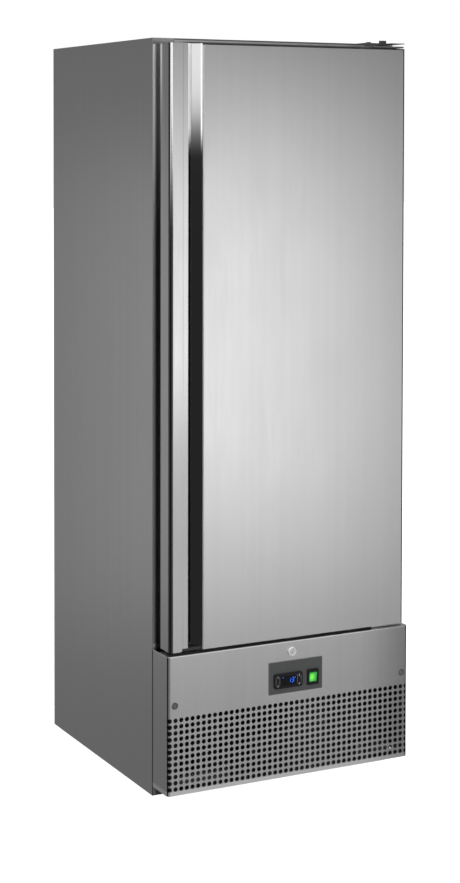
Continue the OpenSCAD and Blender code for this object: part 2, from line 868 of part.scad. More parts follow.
module top_hinge_plate() {
    color("silver")
        difference() {
            union() {
                block([leaf_x, x_door_r], [y_door_f + leaf_setback, y_front],
                    [z_top_leaf, z_top_leaf + top_leaf_t]);
                block([leaf_x + 14, x_door_r], [y_front - 5, y_front], [z_top_leaf, z_top]);
                block([leaf_x + 14, x_door_r], [y_front - 5, y_front + top_plate_d],
                    [z_top, z_top + top_plate_t]);
                block([leaf_x + 50, x_door_r], [y_door_f + 4, y_front - 4],
                    [z_top - 3, z_top - 1]);
                rod_z(pin_x, pin_y, [z_door_t - pin_depth, z_top_leaf + 1], pin_d / 2);
            }
            for (bolt = top_bolts)
                rod_z(bolt[0], bolt[1], [z_top - 1, z_top + top_plate_t + 1],
                    bolt[2] / 2 + fixed_fit);
        }
}

module bottom_hinge_plate() {
    color("silver")
        difference() {
            union() {
                block([leaf_x, x_door_r], [y_door_f + leaf_setback, y_front],
                    [z_bottom_leaf - bottom_leaf_t, z_bottom_leaf]);
                block([leaf_x + 14, x_door_r], [y_front - 4, y_front],
                    [z_deck + 2, z_bottom_leaf]);
                rod_z(pin_x, pin_y, [z_bottom_leaf - 1, z_door_b + pin_depth], pin_d / 2);
            }
            for (x = bottom_bolt_x)
                rod_y(x, [y_front - 5, y_front + 1], z_deck + 11, 3 + fixed_fit);
        }
}

module hinge_bolts() {
    color("dimgray") {
        for (bolt = top_bolts) {
            rod_z(bolt[0], bolt[1], [z_top - sheet_t - 5, z_top + top_plate_t + 1], bolt[2] / 2);
            hex_z(bolt[0], bolt[1], [z_top + top_plate_t, z_top + top_plate_t + bolt[4]], bolt[3]);
        }
        for (x = bottom_bolt_x) {
            rod_y(x, [y_front - 5, y_front + sheet_t + 5], z_deck + 11, 3);
            translate([x, y_front - 4 - 4, z_deck + 11])
                rotate([-90, 0, 0])
                    cylinder(h = 4, d = 10 / cos(30), $fn = 6);
        }
    }
}

// Door
module door_outline(inset) {
    r = door_edge_r - inset;
    x = [x_door_l + inset, x_door_r - inset];
    y = y_door_f + inset;
    translate([x[0], y + r])
        square([x[1] - x[0], y_door_b - y - r]);
    translate([x[0] + r, y])
        square([x[1] - x[0] - 2 * r, r]);
    for (edge = [x[0] + r, x[1] - r])
        translate([edge, y + r])
            circle(r = r);
}

module door_rim(inset) {
    difference() {
        door_outline(0);
        door_outline(inset);
        translate([x_door_l + inset, y_door_b - 1])
            square([x_door_r - x_door_l - 2 * inset, 2]);
    }
}

module area(x, y) {
    translate([x[0], y[0]])
        square([x[1] - x[0], y[1] - y[0]]);
}

// Hollow of the finger trough: round at the grip and flat at the right
module trough_2d(margin) {
    r = trough_r + margin;
    translate([x_trough, y_door_f])
        intersection() {
            circle(r = r);
            rotate([0, 0, -trough_slope])
                area([-2 * r, 2 * r], [-2 * r, trough_flat + margin]);
        }
}

module door_skin_2d() {
    intersection() {
        door_rim(skin_t);
        area([x_skin, x_side], [y_door_f - 1, y_front]);
    }
    difference() {
        translate([x_skin, y_door_f + grip_t])
            circle(r = grip_t);
        translate([x_skin, y_door_f + grip_t])
            circle(r = grip_t - skin_t);
        area([x_skin, x_side], [y_door_f - 1, y_front]);
        area([x_door_l, x_side], [y_door_f + grip_t, y_front]);
    }
    area([x_door_r - skin_fold_w, x_door_r - skin_t / 2], [y_door_b - skin_t, y_door_b]);
}

module door_skin() {
    color("lightgray")
        upright([z_door_b, z_door_t - cap_t])
            door_skin_2d();
}

module door_handle() {
    y_grip = y_door_f + grip_t;
    color("lightgray")
        difference() {
            upright([z_door_b, z_door_t]) {
                intersection() {
                    door_rim(handle_t);
                    area([-x_side, x_grip - grip_t], [y_door_f - 1, y_front]);
                }
                intersection() {
                    door_outline(0);
                    area([x_door_l, x_lip - grip_t / 2], [y_door_f, y_grip]);
                }
                translate([x_lip - grip_t / 2, y_door_f + grip_t / 2])
                    circle(r = grip_t / 2);
                intersection() {
                    difference() {
                        trough_2d(handle_t);
                        trough_2d(0);
                    }
                    area([x_door_l, x_side], [y_grip, y_front]);
                }
                area([x_door_l + handle_t / 2, x_door_l + skin_fold_w],
                    [y_door_b - skin_t, y_door_b]);
            }
            trough_end_cut();
        }
}

module trough_end_cut() {
    r = trough_stop_h;
    upright([z_door_b - 1, z_door_b + r]) {
        area([x_grip, x_skin - 1], [y_door_f - 1, y_door_f + grip_t + fixed_fit]);
        trough_2d(handle_t + fixed_fit);
    }
    difference() {
        block([x_grip - r, x_grip + 1], [y_door_f - 1, y_door_f + grip_t + fixed_fit],
            [z_door_b - 1, z_door_b + r]);
        rod_y(x_grip - r, [y_door_f - 2, y_door_f + grip_t + 1], z_door_b + r, r);
        block([x_grip - r - 1, x_grip - r], [y_door_f - 2, y_door_f + grip_t + 1],
            [z_door_b - 2, z_door_b + r + 1]);
    }
}

// Everything inside the door skin and handle, cut at the trough
module door_core_2d(y_rear) {
    difference() {
        union() {
            intersection() {
                door_outline(handle_t + fixed_fit);
                area([x_door_l, x_skin + 1], [y_door_f + grip_t, y_rear]);
            }
            intersection() {
                door_outline(skin_t);
                area([x_skin, x_door_r], [y_door_f, y_rear]);
            }
        }
        trough_2d(handle_t + fixed_fit);
    }
}

module bush_holes() {
    rod_z(pin_x, pin_y, [z_door_b - 2, z_door_b + pin_depth + 2 + fixed_fit],
        bush_d / 2 + fixed_fit);
    rod_z(pin_x, pin_y, [z_door_t - pin_depth - 2 - fixed_fit, z_door_t + 2],
        bush_d / 2 + fixed_fit);
}

module strike_box(margin) {
    sweep = sqrt(cam_reach * cam_reach - (z_door_b - z_lock) * (z_door_b - z_lock));
    block([-cam_w / 2 - 4 - margin, sweep + 4 + margin],
        [y_cam - 4 - margin, y_cam + cam_t + 4 + margin],
        [z_door_b, z_door_b + pocket_h + 3 + margin]);
}

module door_top_cap() {
    color("dimgray")
        difference() {
            upright([z_door_t - cap_t, z_door_t]) {
                door_core_2d(y_door_b - skin_t);
                intersection() {
                    door_outline(0);
                    area([x_skin, x_side], [y_door_f - 1, y_door_b - skin_t]);
                }
                intersection() {
                    translate([x_skin, y_door_f + grip_t])
                        circle(r = grip_t);
                    area([x_skin - grip_t - 1, x_skin + 1], [y_door_f - 1, y_door_f + grip_t]);
                }
            }
            bush_holes();
        }
}

module door_bottom_cap() {
    color([0.15, 0.15, 0.15])
        difference() {
            union() {
                upright([z_door_b, z_door_b + cap_t])
                    door_core_2d(y_door_b - skin_t);
                upright([z_door_b, z_door_b + trough_stop_h - fixed_fit])
                    intersection() {
                        trough_2d(handle_t);
                        area([x_door_l, x_side], [y_door_f + grip_t + stop_setback, y_front]);
                    }
                upright([z_door_b, z_door_b + cap_t])
                    intersection() {
                        trough_2d(handle_t + 1);
                        area([x_door_l, x_side], [y_door_f + grip_t + stop_setback, y_front]);
                    }
                strike_box(0);
            }
            cam_slot([z_door_b - eps, z_door_b + pocket_h], 1.5);
            bush_holes();
        }
}

module door_foam() {
    color("khaki")
        difference() {
            upright([z_door_b + cap_t, z_door_t - cap_t])
                door_core_2d(y_door_b - skin_t);
            strike_box(fixed_fit);
            bush_holes();
        }
}

module door_ring(margin, y) {
    difference() {
        block([-gasket_out - margin, gasket_out + margin], y,
            [gasket_z[0] - margin, gasket_z[1] + margin]);
        block([-gasket_in + margin, gasket_in - margin], [y[0] - 1, y[1] + 1],
            [gasket_z[0] + gasket_w + margin, gasket_z[1] - gasket_w - margin]);
    }
}

module door_liner() {
    color("whitesmoke") {
        block([x_door_l + skin_fold_w, x_door_r - skin_fold_w], [y_door_b - skin_t, y_door_b],
            [z_door_b, z_door_t]);
        door_ring(rim_extra, [y_door_b - eps, y_door_b + rim_h]);
    }
}

module door_gasket() {
    y = [y_door_b + rim_h, y_front - free_gap];
    middle = (y[0] + y[1]) / 2;
    color([0.25, 0.25, 0.25])
        difference() {
            door_ring(0, y);
            difference() {
                door_ring(1, [middle - gasket_groove / 2, middle + gasket_groove / 2]);
                door_ring(-gasket_groove, [middle - gasket_groove, middle + gasket_groove]);
            }
        }
}

module hinge_bushes() {
    color("white")
        difference() {
            union() {
                rod_z(pin_x, pin_y, [z_bottom_leaf + free_gap, z_door_b + pin_depth + 2],
                    bush_d / 2);
                rod_z(pin_x, pin_y, [z_door_t - pin_depth - 2, z_door_t + 1], bush_d / 2);
            }
            rod_z(pin_x, pin_y, [z_door_b - 9, z_door_b + pin_depth + 1], pin_d / 2 + run_fit);
            rod_z(pin_x, pin_y, [z_door_t - pin_depth - 1, z_door_t + 9], pin_d / 2 + run_fit);
        }
}

// Storage space
module shelf_rails() {
    color("silver")
        for (side = [0, 1], y = rail_y)
            mirror([side, 0, 0])
                difference() {
                    block([-x_in, -x_in + rail_t], [y - rail_w / 2, y + rail_w / 2],
                        [z_floor + 40, z_evap - 20]);
                    for (i = [0:rail_slots - 1])
                        block([-x_in + 1, -x_in + rail_t + 1], [y - 4, y + 4],
                            [z_floor + 60 + i * rail_slot_pitch, z_floor + 72 + i * rail_slot_pitch]);
                }
}

module shelf_runners() {
    x = -x_in + rail_t;
    color("silver")
        for (side = [0, 1], z = z_shelf)
            mirror([side, 0, 0]) {
                block([x, x + runner_t], runner_y, [z - runner_h, z + runner_h / 2]);
                block([x, x + runner_w], runner_y, [z - runner_t, z]);
            }
}

module wire_shelf(z) {
    r = frame_wire_d / 2;
    w = cross_wire_d / 2;
    x = x_in - rail_t - runner_t - 4 - r;
    y = [y_shelf_front + r, y_shelf_back - r];
    zc = z + free_gap + r;
    color("gainsboro") {
        for (y_rod = y)
            rod_x([-x + shelf_bend, x - shelf_bend], y_rod, zc, r);
        for (x_rod = [-x, x])
            rod_y(x_rod, [y[0] + shelf_bend, y[1] - shelf_bend], zc, r);
        for (corner = [[x, y[1], 0], [-x, y[1], 90], [-x, y[0], 180], [x, y[0], 270]])
            translate([corner[0] - sign(corner[0]) * shelf_bend,
                corner[1] + (corner[1] == y[0] ? shelf_bend : -shelf_bend), zc])
                rotate([0, 0, corner[2]])
                    rotate_extrude(angle = 90)
                        translate([shelf_bend, 0])
                            circle(r = r);
        for (i = [1:long_wires])
            rod_y(-x + i * 2 * x / (long_wires + 1), y, zc + w / 2, w);
        for (i = [1:2]) {
            y_bar = y[0] + i * (y[1] - y[0]) / 3;
            block([-x, x], [y_bar - w, y_bar + w], [zc - r / 2, zc + r - w * 1.2]);
        }
    }
}

module shelf_1() wire_shelf(z_shelf[0]);

module shelf_2() wire_shelf(z_shelf[1]);

module shelf_3() wire_shelf(z_shelf[2]);

module shelf_4() wire_shelf(z_shelf[3]);

module lamp_strip() {
    color("white") {
        block([-120, 120], [y_front + 30, y_front + 52], [z_ceiling - 8, z_ceiling]);
        rod_x([-110, 110], y_front + 41, z_ceiling - 8, 6);
    }
}

// Evaporator
module evaporator_cover() {
    x = evap_w / 2;
    color("silver")
        difference() {
            block([-x, x], [y_evap, y_cavity], [z_evap, z_ceiling]);
            block([-x + evap_t, x - evap_t], [y_evap + evap_t, y_cavity + 1],
                [z_evap + evap_t, z_ceiling + 1]);
            rod_y(0, [y_evap - 1, y_evap + 3], evap_fan_z, evap_fan_d / 2 + 2);
            for (side = [-1, 1], i = [0:6])
                block([side * 150 - 60, side * 150 + 60], [y_evap - 1, y_evap + 3],
                    [z_evap + 30 + i * 13, z_evap + 35 + i * 13]);
        }
}

module finned_coil(x, y, z, fins, passes, r) {
    step = (z[1] - z[0]) / passes;
    x_tube = [x[0] + step / 2 + r, x[1] - step / 2 - r];
    yc = (y[0] + y[1]) / 2;
    for (i = [0:fins - 1]) {
        xf = x_tube[0] + 2 + i * (x_tube[1] - x_tube[0] - 4 - fins_t) / (fins - 1);
        block([xf, xf + fins_t], y, z);
    }
    for (i = [0:passes - 1])
        rod_x(x_tube, yc, z[0] + (i + 0.5) * step, r);
    for (i = [0:passes - 2]) {
        right = i % 2 == 0;
        translate([right ? x_tube[1] : x_tube[0], yc, z[0] + (i + 1) * step])
            rotate([90, 0, 0])
                rotate([0, 0, right ? -90 : 90])
                    rotate_extrude(angle = 180)
                        translate([step / 2, 0])
                            circle(r = r);
    }
}

module evaporator_coil() {
    color("lightgray")
        finned_coil([-evap_w / 2 + 30, evap_w / 2 - 30], [y_cavity - 130, y_cavity - 40],
            [z_evap + 26, z_ceiling - 6], evap_fins, 4, 4.5);
    color("gray")
        for (side = [-1, 1])
            block([side * 150 - 10, side * 150 + 10], [y_cavity - 100, y_cavity - 70],
                [z_pan, z_evap + 26]);
}

module evaporator_fan_motor() {
    y = y_evap_fan + 10;
    color("dimgray")
        difference() {
            union() {
                rod_y(0, [y, y + 34], evap_fan_z, 22);
                block([-evap_fan_d / 2 - 12, evap_fan_d / 2 + 12], [y + 14, y + 20],
                    [evap_fan_z - 5, evap_fan_z + 5]);
                for (side = [-1, 1])
                    block([side * (evap_fan_d / 2 + 8) - 4, side * (evap_fan_d / 2 + 8) + 4],
                        [y_evap + evap_t, y + 20], [evap_fan_z - 5, evap_fan_z + 5]);
            }
            rod_y(0, [y - 1, y + 20], evap_fan_z, shaft_r + run_fit);
        }
    color("black") {
        rod_y(0, [y_evap - guard_t, y_evap], evap_fan_z, 4);
        for (turn = [45, 135])
            translate([0, 0, evap_fan_z])
                rotate([0, turn, 0])
                    block([-14 - guard_t / 2, 14 + guard_t / 2], [y_evap - guard_t, y_evap],
                        [-guard_t / 2, guard_t / 2]);
        for (r = [14, 32, 50])
            difference() {
                rod_y(0, [y_evap - guard_t, y_evap], evap_fan_z, r + guard_t);
                rod_y(0, [y_evap - guard_t - 1, y_evap + 1], evap_fan_z, r);
            }
        for (turn = [0, 90])
            translate([0, 0, evap_fan_z])
                rotate([0, turn, 0])
                    for (side = [0, 180])
                        rotate([0, side, 0])
                            block([14 + guard_t / 2, evap_fan_d / 2 + 8],
                                [y_evap - guard_t, y_evap], [-guard_t / 2, guard_t / 2]);
    }
}

module fan(x, y, z, d, hub_r, depth, shaft, blades) {
    translate([x, y, z]) {
        rod_y(0, [0, depth], 0, hub_r);
        rod_y(0, [0, shaft], 0, shaft_r);
        intersection() {
            rod_y(0, [-1, depth + 1], 0, d / 2);
            for (i = [0:blades - 1])
                rotate([0, i * 360 / blades, 0])
                    translate([hub_r - 2, depth / 2, 0])
                        rotate([28, 0, 0])
                            translate([0, -0.8, -d * 0.13])
                                cube([d / 2, 1.6, d * 0.26]);
        }
    }
}

module evaporator_fan() {
    color("black")
        fan(0, y_evap_fan - 8, evap_fan_z, evap_fan_d, 15, 14, 32, 5);
}

// Condensing unit
module condenser_coil() {
    color("black") {
        finned_coil(cond_x, [y_cond, y_shroud], cond_z, cond_fins, cond_passes, cond_tube_d / 2);
    }
}

module condenser_shroud() {
    x = cond_x;
    color("dimgray")
        difference() {
            union() {
                block(x, [y_shroud, y_shroud + shroud_d], cond_z);
                for (side = [-1, 1])
                    block([fan_x + side * 100 - 15, fan_x + side * 100 + 15],
                        [y_shroud, y_shroud + shroud_d], [z_deck_floor, cond_z[0] + 1]);
            }
            block([x[0] + 2, x[1] - 2], [y_shroud - 1, y_shroud + shroud_d - 1.5],
                [cond_z[0] + 2, cond_z[1] - 2]);
            rod_y(fan_x, [y_shroud - 1, y_shroud + shroud_d + 1], fan_z, fan_d / 2 + 5);
        }
}

module condenser_fan_motor() {
    y = y_motor;
    color("dimgray")
        difference() {
            union() {
                rod_y(fan_x, [y, y + motor_l], fan_z, motor_r);
                for (side = [-1, 1]) {
                    x = fan_x + side * (fan_d / 2 + 14);
                    block([x - 4, x + 4], [y_shroud + shroud_d, y + 30], [fan_z - 9, fan_z + 9]);
                    block([min(x, fan_x) - 4, max(x, fan_x) + 4], [y + 26, y + 30],
                        [fan_z - 9, fan_z + 9]);
                }
            }
            rod_y(fan_x, [y - 1, y + 25], fan_z, shaft_r + run_fit);
        }
}

module condenser_fan() {
    color("black")
        fan(fan_x, y_fan, fan_z, fan_d, hub_r, hub_l, shaft_l, 5);
}

module compressor() {
    r = comp_d / 2;
    color([0.1, 0.1, 0.1]) {
        translate([comp_x, comp_y, comp_z + 6])
            rotate_extrude() {
                intersection() {
                    union() {
                        translate([0, 30])
                            square([r, comp_h - 75]);
                        square([r - 30, comp_h]);
                        translate([r - 45, comp_h - 45])
                            circle(r = 45);
                        translate([r - 30, 30])
                            circle(r = 30);
                    }
                    square([r, comp_h]);
                }
            }
        difference() {
            translate([comp_x - comp_plate[0] / 2, comp_y - comp_plate[1] / 2, comp_z])
                cube(comp_plate);
            for (x = comp_foot_x, y = comp_foot_y)
                rod_z(x, y, [comp_z - 1, z_comp_plate + 1], mount_r);
        }
        rod_z(comp_x, comp_y, [comp_z + 2, comp_z + 10], 30);
    }
}

module compressor_mounts() {
    color([0.08, 0.08, 0.08])
        for (x = comp_foot_x, y = comp_foot_y) {
            rod_z(x, y, [z_deck_floor, comp_z], mount_r + 6);
            rod_z(x, y, [comp_z - eps, z_comp_plate + eps], mount_r - fixed_fit);
            rod_z(x, y, [z_comp_plate, z_comp_plate + 5], mount_r + 4);
            rod_z(x, y, [z_base + 0.5, z_deck_floor + eps], mount_pin_r);
        }
}

module relay_box() {
    r = comp_d / 2;
    color([0.12, 0.12, 0.12])
        difference() {
            block([comp_x + r * 0.6, comp_x + r + 34], [comp_y - 30, comp_y + 30],
                [comp_z + 60, comp_z + 110]);
            rod_z(comp_x, comp_y, [comp_z, comp_z + comp_h], r + fixed_fit);
        }
}

module drip_tray() {
    color("dimgray")
        difference() {
            block(tray_x, tray_y, [z_deck_floor, z_deck_floor + tray_size[2]]);
            block([tray_x[0] + tray_wall, tray_x[1] - tray_wall],
                [tray_y[0] + tray_wall, tray_y[1] - tray_wall],
                [z_deck_floor + tray_wall, z_deck_floor + tray_size[2] + 1]);
        }
}

module drain_tube() {
    y = y_cavity + wall_t / 2;
    y_drop = tray_y[1] - 30;
    y_pan = [y_cavity - 140, y_cavity - 24];
    x_pan = evap_w / 2 - 20;
    color("lightgray") {
        difference() {
            pipe_run([[drain_x, y_cavity - 30, z_evap + 20], [drain_x, y, z_evap + 20],
                [drain_x, y, z_deck - 40], [drain_x, y_drop, z_deck - 40],
                [drain_x, y_drop, z_deck_floor + 30]], drain_r);
            rod_z(drain_x, y_drop, [z_deck_floor + 20, z_deck_floor + 60], drain_r - 2);
        }
        difference() {
            block([-x_pan, x_pan], y_pan, [z_evap + evap_t, z_evap + 26 - fixed_fit]);
            block([-x_pan + 2, x_pan - 2], [y_pan[0] + 2, y_pan[1] - 2], [z_pan, z_evap + 27]);
        }
    }
}

module refrigerant_pipes() {
    r = 4;
    step = cond_h / cond_passes;
    z_hot = cond_z[1] - step / 2;
    z_cold = cond_z[0] + step / 2;
    y_coil = y_cond + cond_d / 2;
    x_coil = cond_x[0] + step / 2 + cond_tube_d / 2;
    x_edge = cond_x[0] - 12;
    y_drier = y_shroud + 180;
    e_step = (evap_h - 32) / 4;
    x_evap = -evap_w / 2 + 30 + e_step / 2 + 4.5;
    y_evap_coil = y_cavity - 85;
    color("peru") {
        pipe_run([[comp_x - 18, comp_y - 18, z_comp_top], [comp_x - 18, comp_y - 18, z_deck - 45],
            [comp_x - 18, y_coil, z_deck - 45], [x_coil - 18, y_coil, z_deck - 45],
            [x_coil - 18, y_coil, z_hot], [x_coil, y_coil, z_hot]], r);
        pipe_run([[x_coil, y_coil, z_cold], [x_edge, y_coil, z_cold], [x_edge, y_drier, z_cold],
            [x_edge, y_drier, z_deck - 25], [liquid_x, y_drier, z_deck - 25],
            [liquid_x, y_riser, z_deck - 25], [liquid_x, y_riser, z_evap + 55],
            [liquid_x, y_evap_coil, z_evap + 55], [liquid_x, y_evap_coil, z_evap + 26 + e_step / 2],
            [x_evap, y_evap_coil, z_evap + 26 + e_step / 2]], 3);
        rod_y(x_edge, [y_drier - 110, y_drier - 30], z_cold, 11);
        pipe_run([[x_evap, y_evap_coil, z_evap + 26 + e_step * 3.5],
            [suction_x, y_evap_coil, z_evap + 26 + e_step * 3.5],
            [suction_x, y_evap_coil, z_evap + 75], [suction_x, y_riser, z_evap + 75],
            [suction_x, y_riser, z_deck - 60], [suction_x, comp_y + 20, z_deck - 60],
            [comp_x + 20, comp_y + 20, z_deck - 60], [comp_x + 20, comp_y + 20, z_comp_top]], 5);
    }
}

side_panel_left();
side_panel_right();
top_panel();
back_panel();
cabinet_foam();
inner_liner();
lower_rail();
base_tray();
rear_cover();
grille_panel();
panel_screws();
panel_clip();
control_plate();
thermostat_case();
display_window();
switch_bezel();
lock_housing();
top_hinge_plate();
bottom_hinge_plate();
hinge_bolts();
compressor();
compressor_mounts();
relay_box();
condenser_coil();
condenser_shroud();
condenser_fan_motor();
drip_tray();
refrigerant_pipes();
drain_tube();
power_inlet();
evaporator_cover();
evaporator_coil();
evaporator_fan_motor();
lamp_strip();
shelf_rails();
shelf_runners();
door_skin();
door_handle();
door_foam();
door_liner();
door_gasket();
door_top_cap();
door_bottom_cap();
hinge_bushes();
lock_plug();
rocker();
key_set();
key_light();
key_up();
key_down();
condenser_fan();
evaporator_fan();
shelf_1();
shelf_2();
shelf_3();
shelf_4();
foot_front_left();
foot_front_right();
foot_rear_left();
foot_rear_right();
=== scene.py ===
import json
import math

import bpy
from mathutils import Matrix, Vector

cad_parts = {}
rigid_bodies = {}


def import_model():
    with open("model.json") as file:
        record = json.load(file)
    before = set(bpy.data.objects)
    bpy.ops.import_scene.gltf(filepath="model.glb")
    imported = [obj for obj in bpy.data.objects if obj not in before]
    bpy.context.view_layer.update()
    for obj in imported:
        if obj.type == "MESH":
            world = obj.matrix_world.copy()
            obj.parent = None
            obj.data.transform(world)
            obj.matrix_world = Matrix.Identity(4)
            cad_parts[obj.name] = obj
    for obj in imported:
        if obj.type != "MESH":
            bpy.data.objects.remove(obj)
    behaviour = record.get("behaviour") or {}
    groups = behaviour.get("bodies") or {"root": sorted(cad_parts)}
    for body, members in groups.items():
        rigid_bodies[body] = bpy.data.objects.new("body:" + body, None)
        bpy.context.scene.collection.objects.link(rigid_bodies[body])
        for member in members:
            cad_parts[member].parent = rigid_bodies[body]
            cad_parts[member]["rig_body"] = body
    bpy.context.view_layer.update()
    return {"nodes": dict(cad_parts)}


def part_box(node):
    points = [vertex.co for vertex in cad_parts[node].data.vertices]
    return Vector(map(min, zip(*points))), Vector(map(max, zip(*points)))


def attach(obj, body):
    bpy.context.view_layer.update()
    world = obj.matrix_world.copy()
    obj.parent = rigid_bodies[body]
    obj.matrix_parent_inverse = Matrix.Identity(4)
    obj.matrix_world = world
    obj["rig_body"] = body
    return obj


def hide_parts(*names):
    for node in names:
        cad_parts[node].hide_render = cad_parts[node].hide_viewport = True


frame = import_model()
nodes = frame["nodes"]
bpy.ops.object.select_all(action="DESELECT")
print("stage: frame loaded,", len(nodes), "pieces")


class Wire:  # a socket that takes part in sums
    def __init__(self, board, socket):
        self.board = board
        self.socket = socket

    def maths(self, operation, first=None, second=0.0):
        return self.board.add("ShaderNodeMath", {"operation": operation},
                              {0: self if first is None else first, 1: second})

    def __add__(self, other):
        return self.maths("ADD", self, other)

    def __radd__(self, other):
        return self.maths("ADD", other, self)

    def __sub__(self, other):
        return self.maths("SUBTRACT", self, other)

    def __rsub__(self, other):
        return self.maths("SUBTRACT", other, self)

    def __mul__(self, other):
        return self.maths("MULTIPLY", self, other)

    def __rmul__(self, other):
        return self.maths("MULTIPLY", other, self)

    def __truediv__(self, other):
        return self.maths("DIVIDE", self, other)

    def __rtruediv__(self, other):
        return self.maths("DIVIDE", other, self)

    def __abs__(self):
        return self.maths("ABSOLUTE", self)

    def most(self, other):
        return self.maths("MAXIMUM", self, other)

    def rise(self, low, high):  # 0 below low, 1 above high, soft between
        return self.board.add("ShaderNodeMapRange", {"interpolation_type": "SMOOTHSTEP"},
                              {"Value": self, "From Min": low, "From Max": high})

    def side(self, name):  # another output of the same node
        return Wire(self.board, self.socket.node.outputs[name])


class Board:  # the nodes of one material or of the studio air
    def __init__(self, tree):
        self.tree = tree

    def add(self, kind, settings=None, feeds=None):  # a node's type, its settings, what its sockets get
        node = self.tree.nodes.new(kind)
        for name, value in (settings or {}).items():
            setattr(node, name, value)
        for name, value in (feeds or {}).items():
            self.feed(node.inputs[name], value)
        return Wire(self, node.outputs[0])

    def feed(self, socket, value):
        if isinstance(value, Wire):
            self.tree.links.new(value.socket, socket)
        elif socket.type == "RGBA":
            socket.default_value = (*value, 1.0)
        else:
            socket.default_value = value

    def place(self, stretch=(1, 1, 1), centre=(0, 0, 0)):  # object coordinates, stretched
        spot = self.add("ShaderNodeTexCoord").side("Object")
        return self.add("ShaderNodeMapping", None, {"Vector": spot, "Location": centre, "Scale": stretch})

    def axes(self):  # object coordinates one by one: x, y and z
        spot = self.add("ShaderNodeSeparateXYZ", None, {0: self.place()})
        return spot, spot.side("Y"), spot.side("Z")

    def noise(self, spot, scale, detail=2.0, rough=0.5):
        return self.add("ShaderNodeTexNoise", None,
                        {"Vector": spot, "Scale": scale, "Detail": detail, "Roughness": rough})

    def mix(self, share, first, second):  # colours
        return self.add("ShaderNodeMix", {"data_type": "RGBA"},
                        {0: share, 6: first, 7: second}).side(2)


class Finish(Board):  # one material
    def __init__(self, name, tone, rough=0.5, **fixed):
        self.material = bpy.data.materials.new(name)
        self.material.use_nodes = True
        super().__init__(self.material.node_tree)
        self.tree.nodes.clear()
        self.shader = self.tree.nodes.new("ShaderNodeBsdfPrincipled")
        output = self.tree.nodes.new("ShaderNodeOutputMaterial")
        self.tree.links.new(self.shader.outputs[0], output.inputs[0])
        self.set(Base_Color=tone, Roughness=rough, **fixed)

    def set(self, **values):
        for name, value in values.items():
            self.feed(self.shader.inputs[name.replace("_", " ")], value)

    def bump(self, height, strength, distance):
        self.set(Normal=self.add("ShaderNodeBump", None, {
            "Height": height, "Strength": strength, "Distance": distance}))


# Camera: it stands in front and to the left, at the height of the door's upper third
camera = {
    "spot": (-2.3183, -4.5269, 1.6533),
    "turn": 27.23,  # degrees to the right
    "tilt": 1.9,  # degrees down
    "roll": 0.099,
    "lens": 76.75,
    "shift": -0.267,
}


def placeCamera():
    eye = bpy.data.objects.new("photoCamera", bpy.data.cameras.new("photoCamera"))
    bpy.context.scene.collection.objects.link(eye)
    eye.data.lens = camera["lens"]
    eye.data.sensor_width = 36
    eye.data.sensor_fit = "AUTO"
    eye.data.shift_y = camera["shift"]
    eye.data.clip_end = 200
    eye.matrix_world = (
        Matrix.Translation(camera["spot"])
        @ Matrix.Rotation(-math.radians(camera["turn"]), 4, "Z")
        @ Matrix.Rotation(math.radians(90 - camera["tilt"]), 4, "X")
        @ Matrix.Rotation(math.radians(camera["roll"]), 4, "Z"))
    bpy.context.scene.camera = eye


# Studio: the brightness of each part of the surroundings, as the steel mirrors it
studio = {
    "highLeft": 1.3,  # in front, to the left, above the horizon
    "lowLeft": 0.28,  # below it
    "strip": 2.6,  # upright light at the left, which draws the lines on the bends
    "belt": 0.01,  # dark beside it
    "right": 0.10,  # in front, to the right
    "floorRight": 0.62,  # pale floor seen low down at the right
    "behind": 0.20,  # at the back, to the left
    "behindRight": 0.50,
    "sky": 0.30,  # far above
    "seen": 1.0,  # what the camera sees behind the object
    "floorGlow": 1.0,
}
# Where one part passes into the next: two values of x, y or z of the direction, between which it changes
studioBorders = {
    "horizon": (-0.008, 0.012),
    "horizonTilt": 0.02,  # it rises to the left
    "front": (0.44, 0.56),
    "left": (-0.15, 0.15),  # round leftFrom, which lies a little to the right
    "leftFrom": 0.12,
    "floor": (0.29, 0.33),
    "strip": (0.18, 0.24),
    "stripFoot": (-0.065, 0.012),
    "stripSide": (-0.1, 0.1),
    "behind": (0.25, 0.45),
    "behindRight": (0.0, 0.5),
    "sky": (0.3, 0.7),
}


def paintAir():
    air = bpy.data.worlds.new("studioAir")
    bpy.context.scene.world = air
    air.use_nodes = True
    board = Board(air.node_tree)
    board.tree.nodes.clear()
    way = board.add("ShaderNodeSeparateXYZ", None,
                    {0: board.add("ShaderNodeTexCoord").side("Generated")})
    x, y, z = way, way.side("Y"), way.side("Z")
    border = studioBorders

    def blend(share, tone, other):
        return share * tone + (1.0 - share) * other

    above = (z + border["horizonTilt"] * x).rise(*border["horizon"])
    below = (0.0 - z).rise(*border["floor"])
    left = (border["leftFrom"] - x).rise(*border["left"])
    front = (0.0 - y).rise(*border["front"])
    strip = (0.0 - y).rise(*border["strip"]) * z.rise(*border["stripFoot"])
    strip = strip * (0.0 - x).rise(*border["stripSide"])
    rear = blend(x.rise(*border["behindRight"]), studio["behindRight"], studio["behind"])
    before = blend(left, blend(above, studio["highLeft"], studio["lowLeft"]),
                   blend(below, studio["floorRight"], studio["right"]))
    beside = blend(y.rise(*border["behind"]), rear, blend(strip, studio["strip"], studio["belt"]))
    tone = blend(z.rise(*border["sky"]), studio["sky"], blend(front, before, beside))
    tone = blend(board.add("ShaderNodeLightPath"), studio["seen"], tone)
    colour = board.add("ShaderNodeCombineColor", None, {0: tone, 1: tone, 2: tone})
    glow = board.add("ShaderNodeBackground", None, {"Color": colour, "Strength": 1.0})
    board.tree.links.new(glow.socket, board.tree.nodes.new("ShaderNodeOutputWorld").inputs[0])


